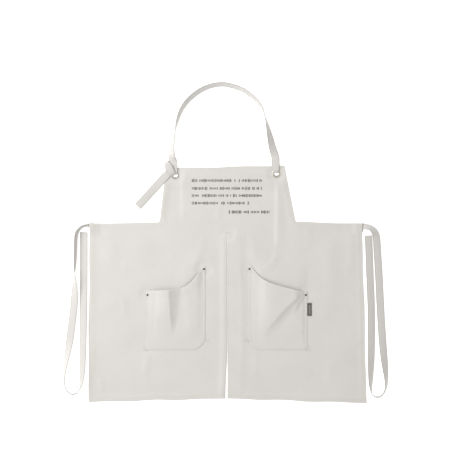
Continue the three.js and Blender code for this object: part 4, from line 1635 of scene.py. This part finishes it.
tag = cloth_shell("tag_weave", tag_layout, tag_heights, tag_material())
print("tag", len(tag.data.polygons), "faces")

# %% Tie roots
ROOT_HEIGHT = 0.97
ROOT_REACHES = (-11, -4, 4, 13)
roots = {}
for side, (cx, cy) in zip(POCKETS, TIE_PADS):
    inward = 1 if side == "left" else -1
    places = [(cx / MM + inward * reach, cy / MM, ROOT_HEIGHT) for reach in ROOT_REACHES]
    shell = bent_strap(places, (0, 1, 0))
    roots[side] = make_piece(f"{side}_tie_root", *shell[:2], STRAP_CANVAS, shell[2])
print(len(roots), "tie roots")

# %% Bartack
TACK_TURNS = 29
TACK_HALF = 1.1 * MM
TACK_LIFT = 0.3 * MM
TACK_STATION = 0.45 * MM
TACK_WIDTH, TACK_THICKNESS = 0.7 * MM, 0.6 * MM
tack_low, tack_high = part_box("slit_bartack")
tack_x = np.linspace(tack_low[0], tack_high[0], TACK_TURNS)
tack_y = middle("slit_bartack")[1] + TACK_HALF * np.where(np.arange(TACK_TURNS) % 2, 1, -1)
_, tack_top = bib_heights(tack_x, tack_y)
tack_path, _ = through(np.column_stack([tack_x, tack_y, tack_top + TACK_LIFT]), TACK_STATION)
tack_ahead = unit(np.gradient(tack_path, axis=0))
tack_sides = np.column_stack([tack_ahead[:, 1], -tack_ahead[:, 0], np.zeros(len(tack_ahead))])
tack_shell = strap_shell(tack_path, tack_sides, np.full(len(tack_path), TACK_WIDTH), TACK_THICKNESS)
tack = make_piece("slit_bartack_thread", *tack_shell[:2], THREAD, tack_shell[2])
print("bartack", round(path_length(tack_path), 3), "m of thread")

# %% [markdown]
# ## Moving bodies
# Most pieces ride on the body of the node that they stand for. The legs, the straps and their stitches
# are only baked in place here: they ride on no body and do not bend at the waist.

# %% Rides
def bend_at(piece, child, start, end):
    """Bakes the piece's transform into its mesh. It rides on no body and does not bend; child, start and end
    are not used.
    """
    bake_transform(piece)


for piece, nodes, slot_name in (
        (bib, ["bib_and_waist"], "canvas"), (bib_stitches, [], "thread"), (tack, ["slit_bartack"], "thread"),
        (knot, ["strap_knot"], "strap_canvas"), (anchor, ["strap_anchor"], "strap_canvas"),
        (roots["left"], ["left_tie_end"], "strap_canvas"),
        (roots["right"], ["right_tie_end"], "strap_canvas")):
    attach(piece, "apron_body")
    if nodes:
        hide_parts(*nodes)

LEG_BEND = ((0, FOLD_Y, 1.2 * MM), (0, 105 * MM, 1.2 * MM))
for side, leg in (("left", left_leg), ("right", right_leg)):
    bend_at(leg, f"{side}_leg", *LEG_BEND)
    bend_at(leg_stitches[side], f"{side}_leg", *LEG_BEND)
    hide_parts(f"{side}_leg_panel")
    pocket_cloth = pocket_parts[side][0]
    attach(pocket_cloth, f"{side}_leg")
    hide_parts(f"{side}_pocket")
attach(tag, "right_leg")
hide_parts("woven_tag")

STRAP_BENDS = {
    "neck_loop": ((-0.013, 0.392, 0.008), (-0.013, 0.425, 0.008)),
    "tail": ((-0.203, 0.348, 0.007), (-0.216, 0.333, 0.007)),
    "left_tie_cord": ((-0.440, 0.193, 0.0125), (-0.4547, 0.1734, 0.0125)),
    "right_tie_cord": ((0.433, 0.193, 0.0125), (0.4477, 0.1734, 0.0125)),
}
for piece, stitches, body, node in (
        (neck_strap, neck_stitches, "neck_loop", "neck_strap"), (tail, tail_stitches, "tail", "strap_tail"),
        (left_tie, tie_stitches["left"], "left_tie_cord", "left_tie"),
        (right_tie, tie_stitches["right"], "right_tie_cord", "right_tie")):
    bend_at(piece, body, *STRAP_BENDS[body])
    bend_at(stitches, body, *STRAP_BENDS[body])
    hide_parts(node)

# %% [markdown]
# ## Facts of the soft goods
# The flat area of the bib's layout is worked out here, and nothing is done with it.

# %% Cords
print("4 straps")

# %% Sheets
def flat_area(layout):
    """Area of a flat layout in square metres."""
    x, y, quads = layout.arrays()
    corners = np.array(quads)
    ax, ay = x[corners], y[corners]
    return float(0.5 * np.sum(ax * np.roll(ay, -1, axis=1) - np.roll(ax, -1, axis=1) * ay))


flat_area(bib_layout)
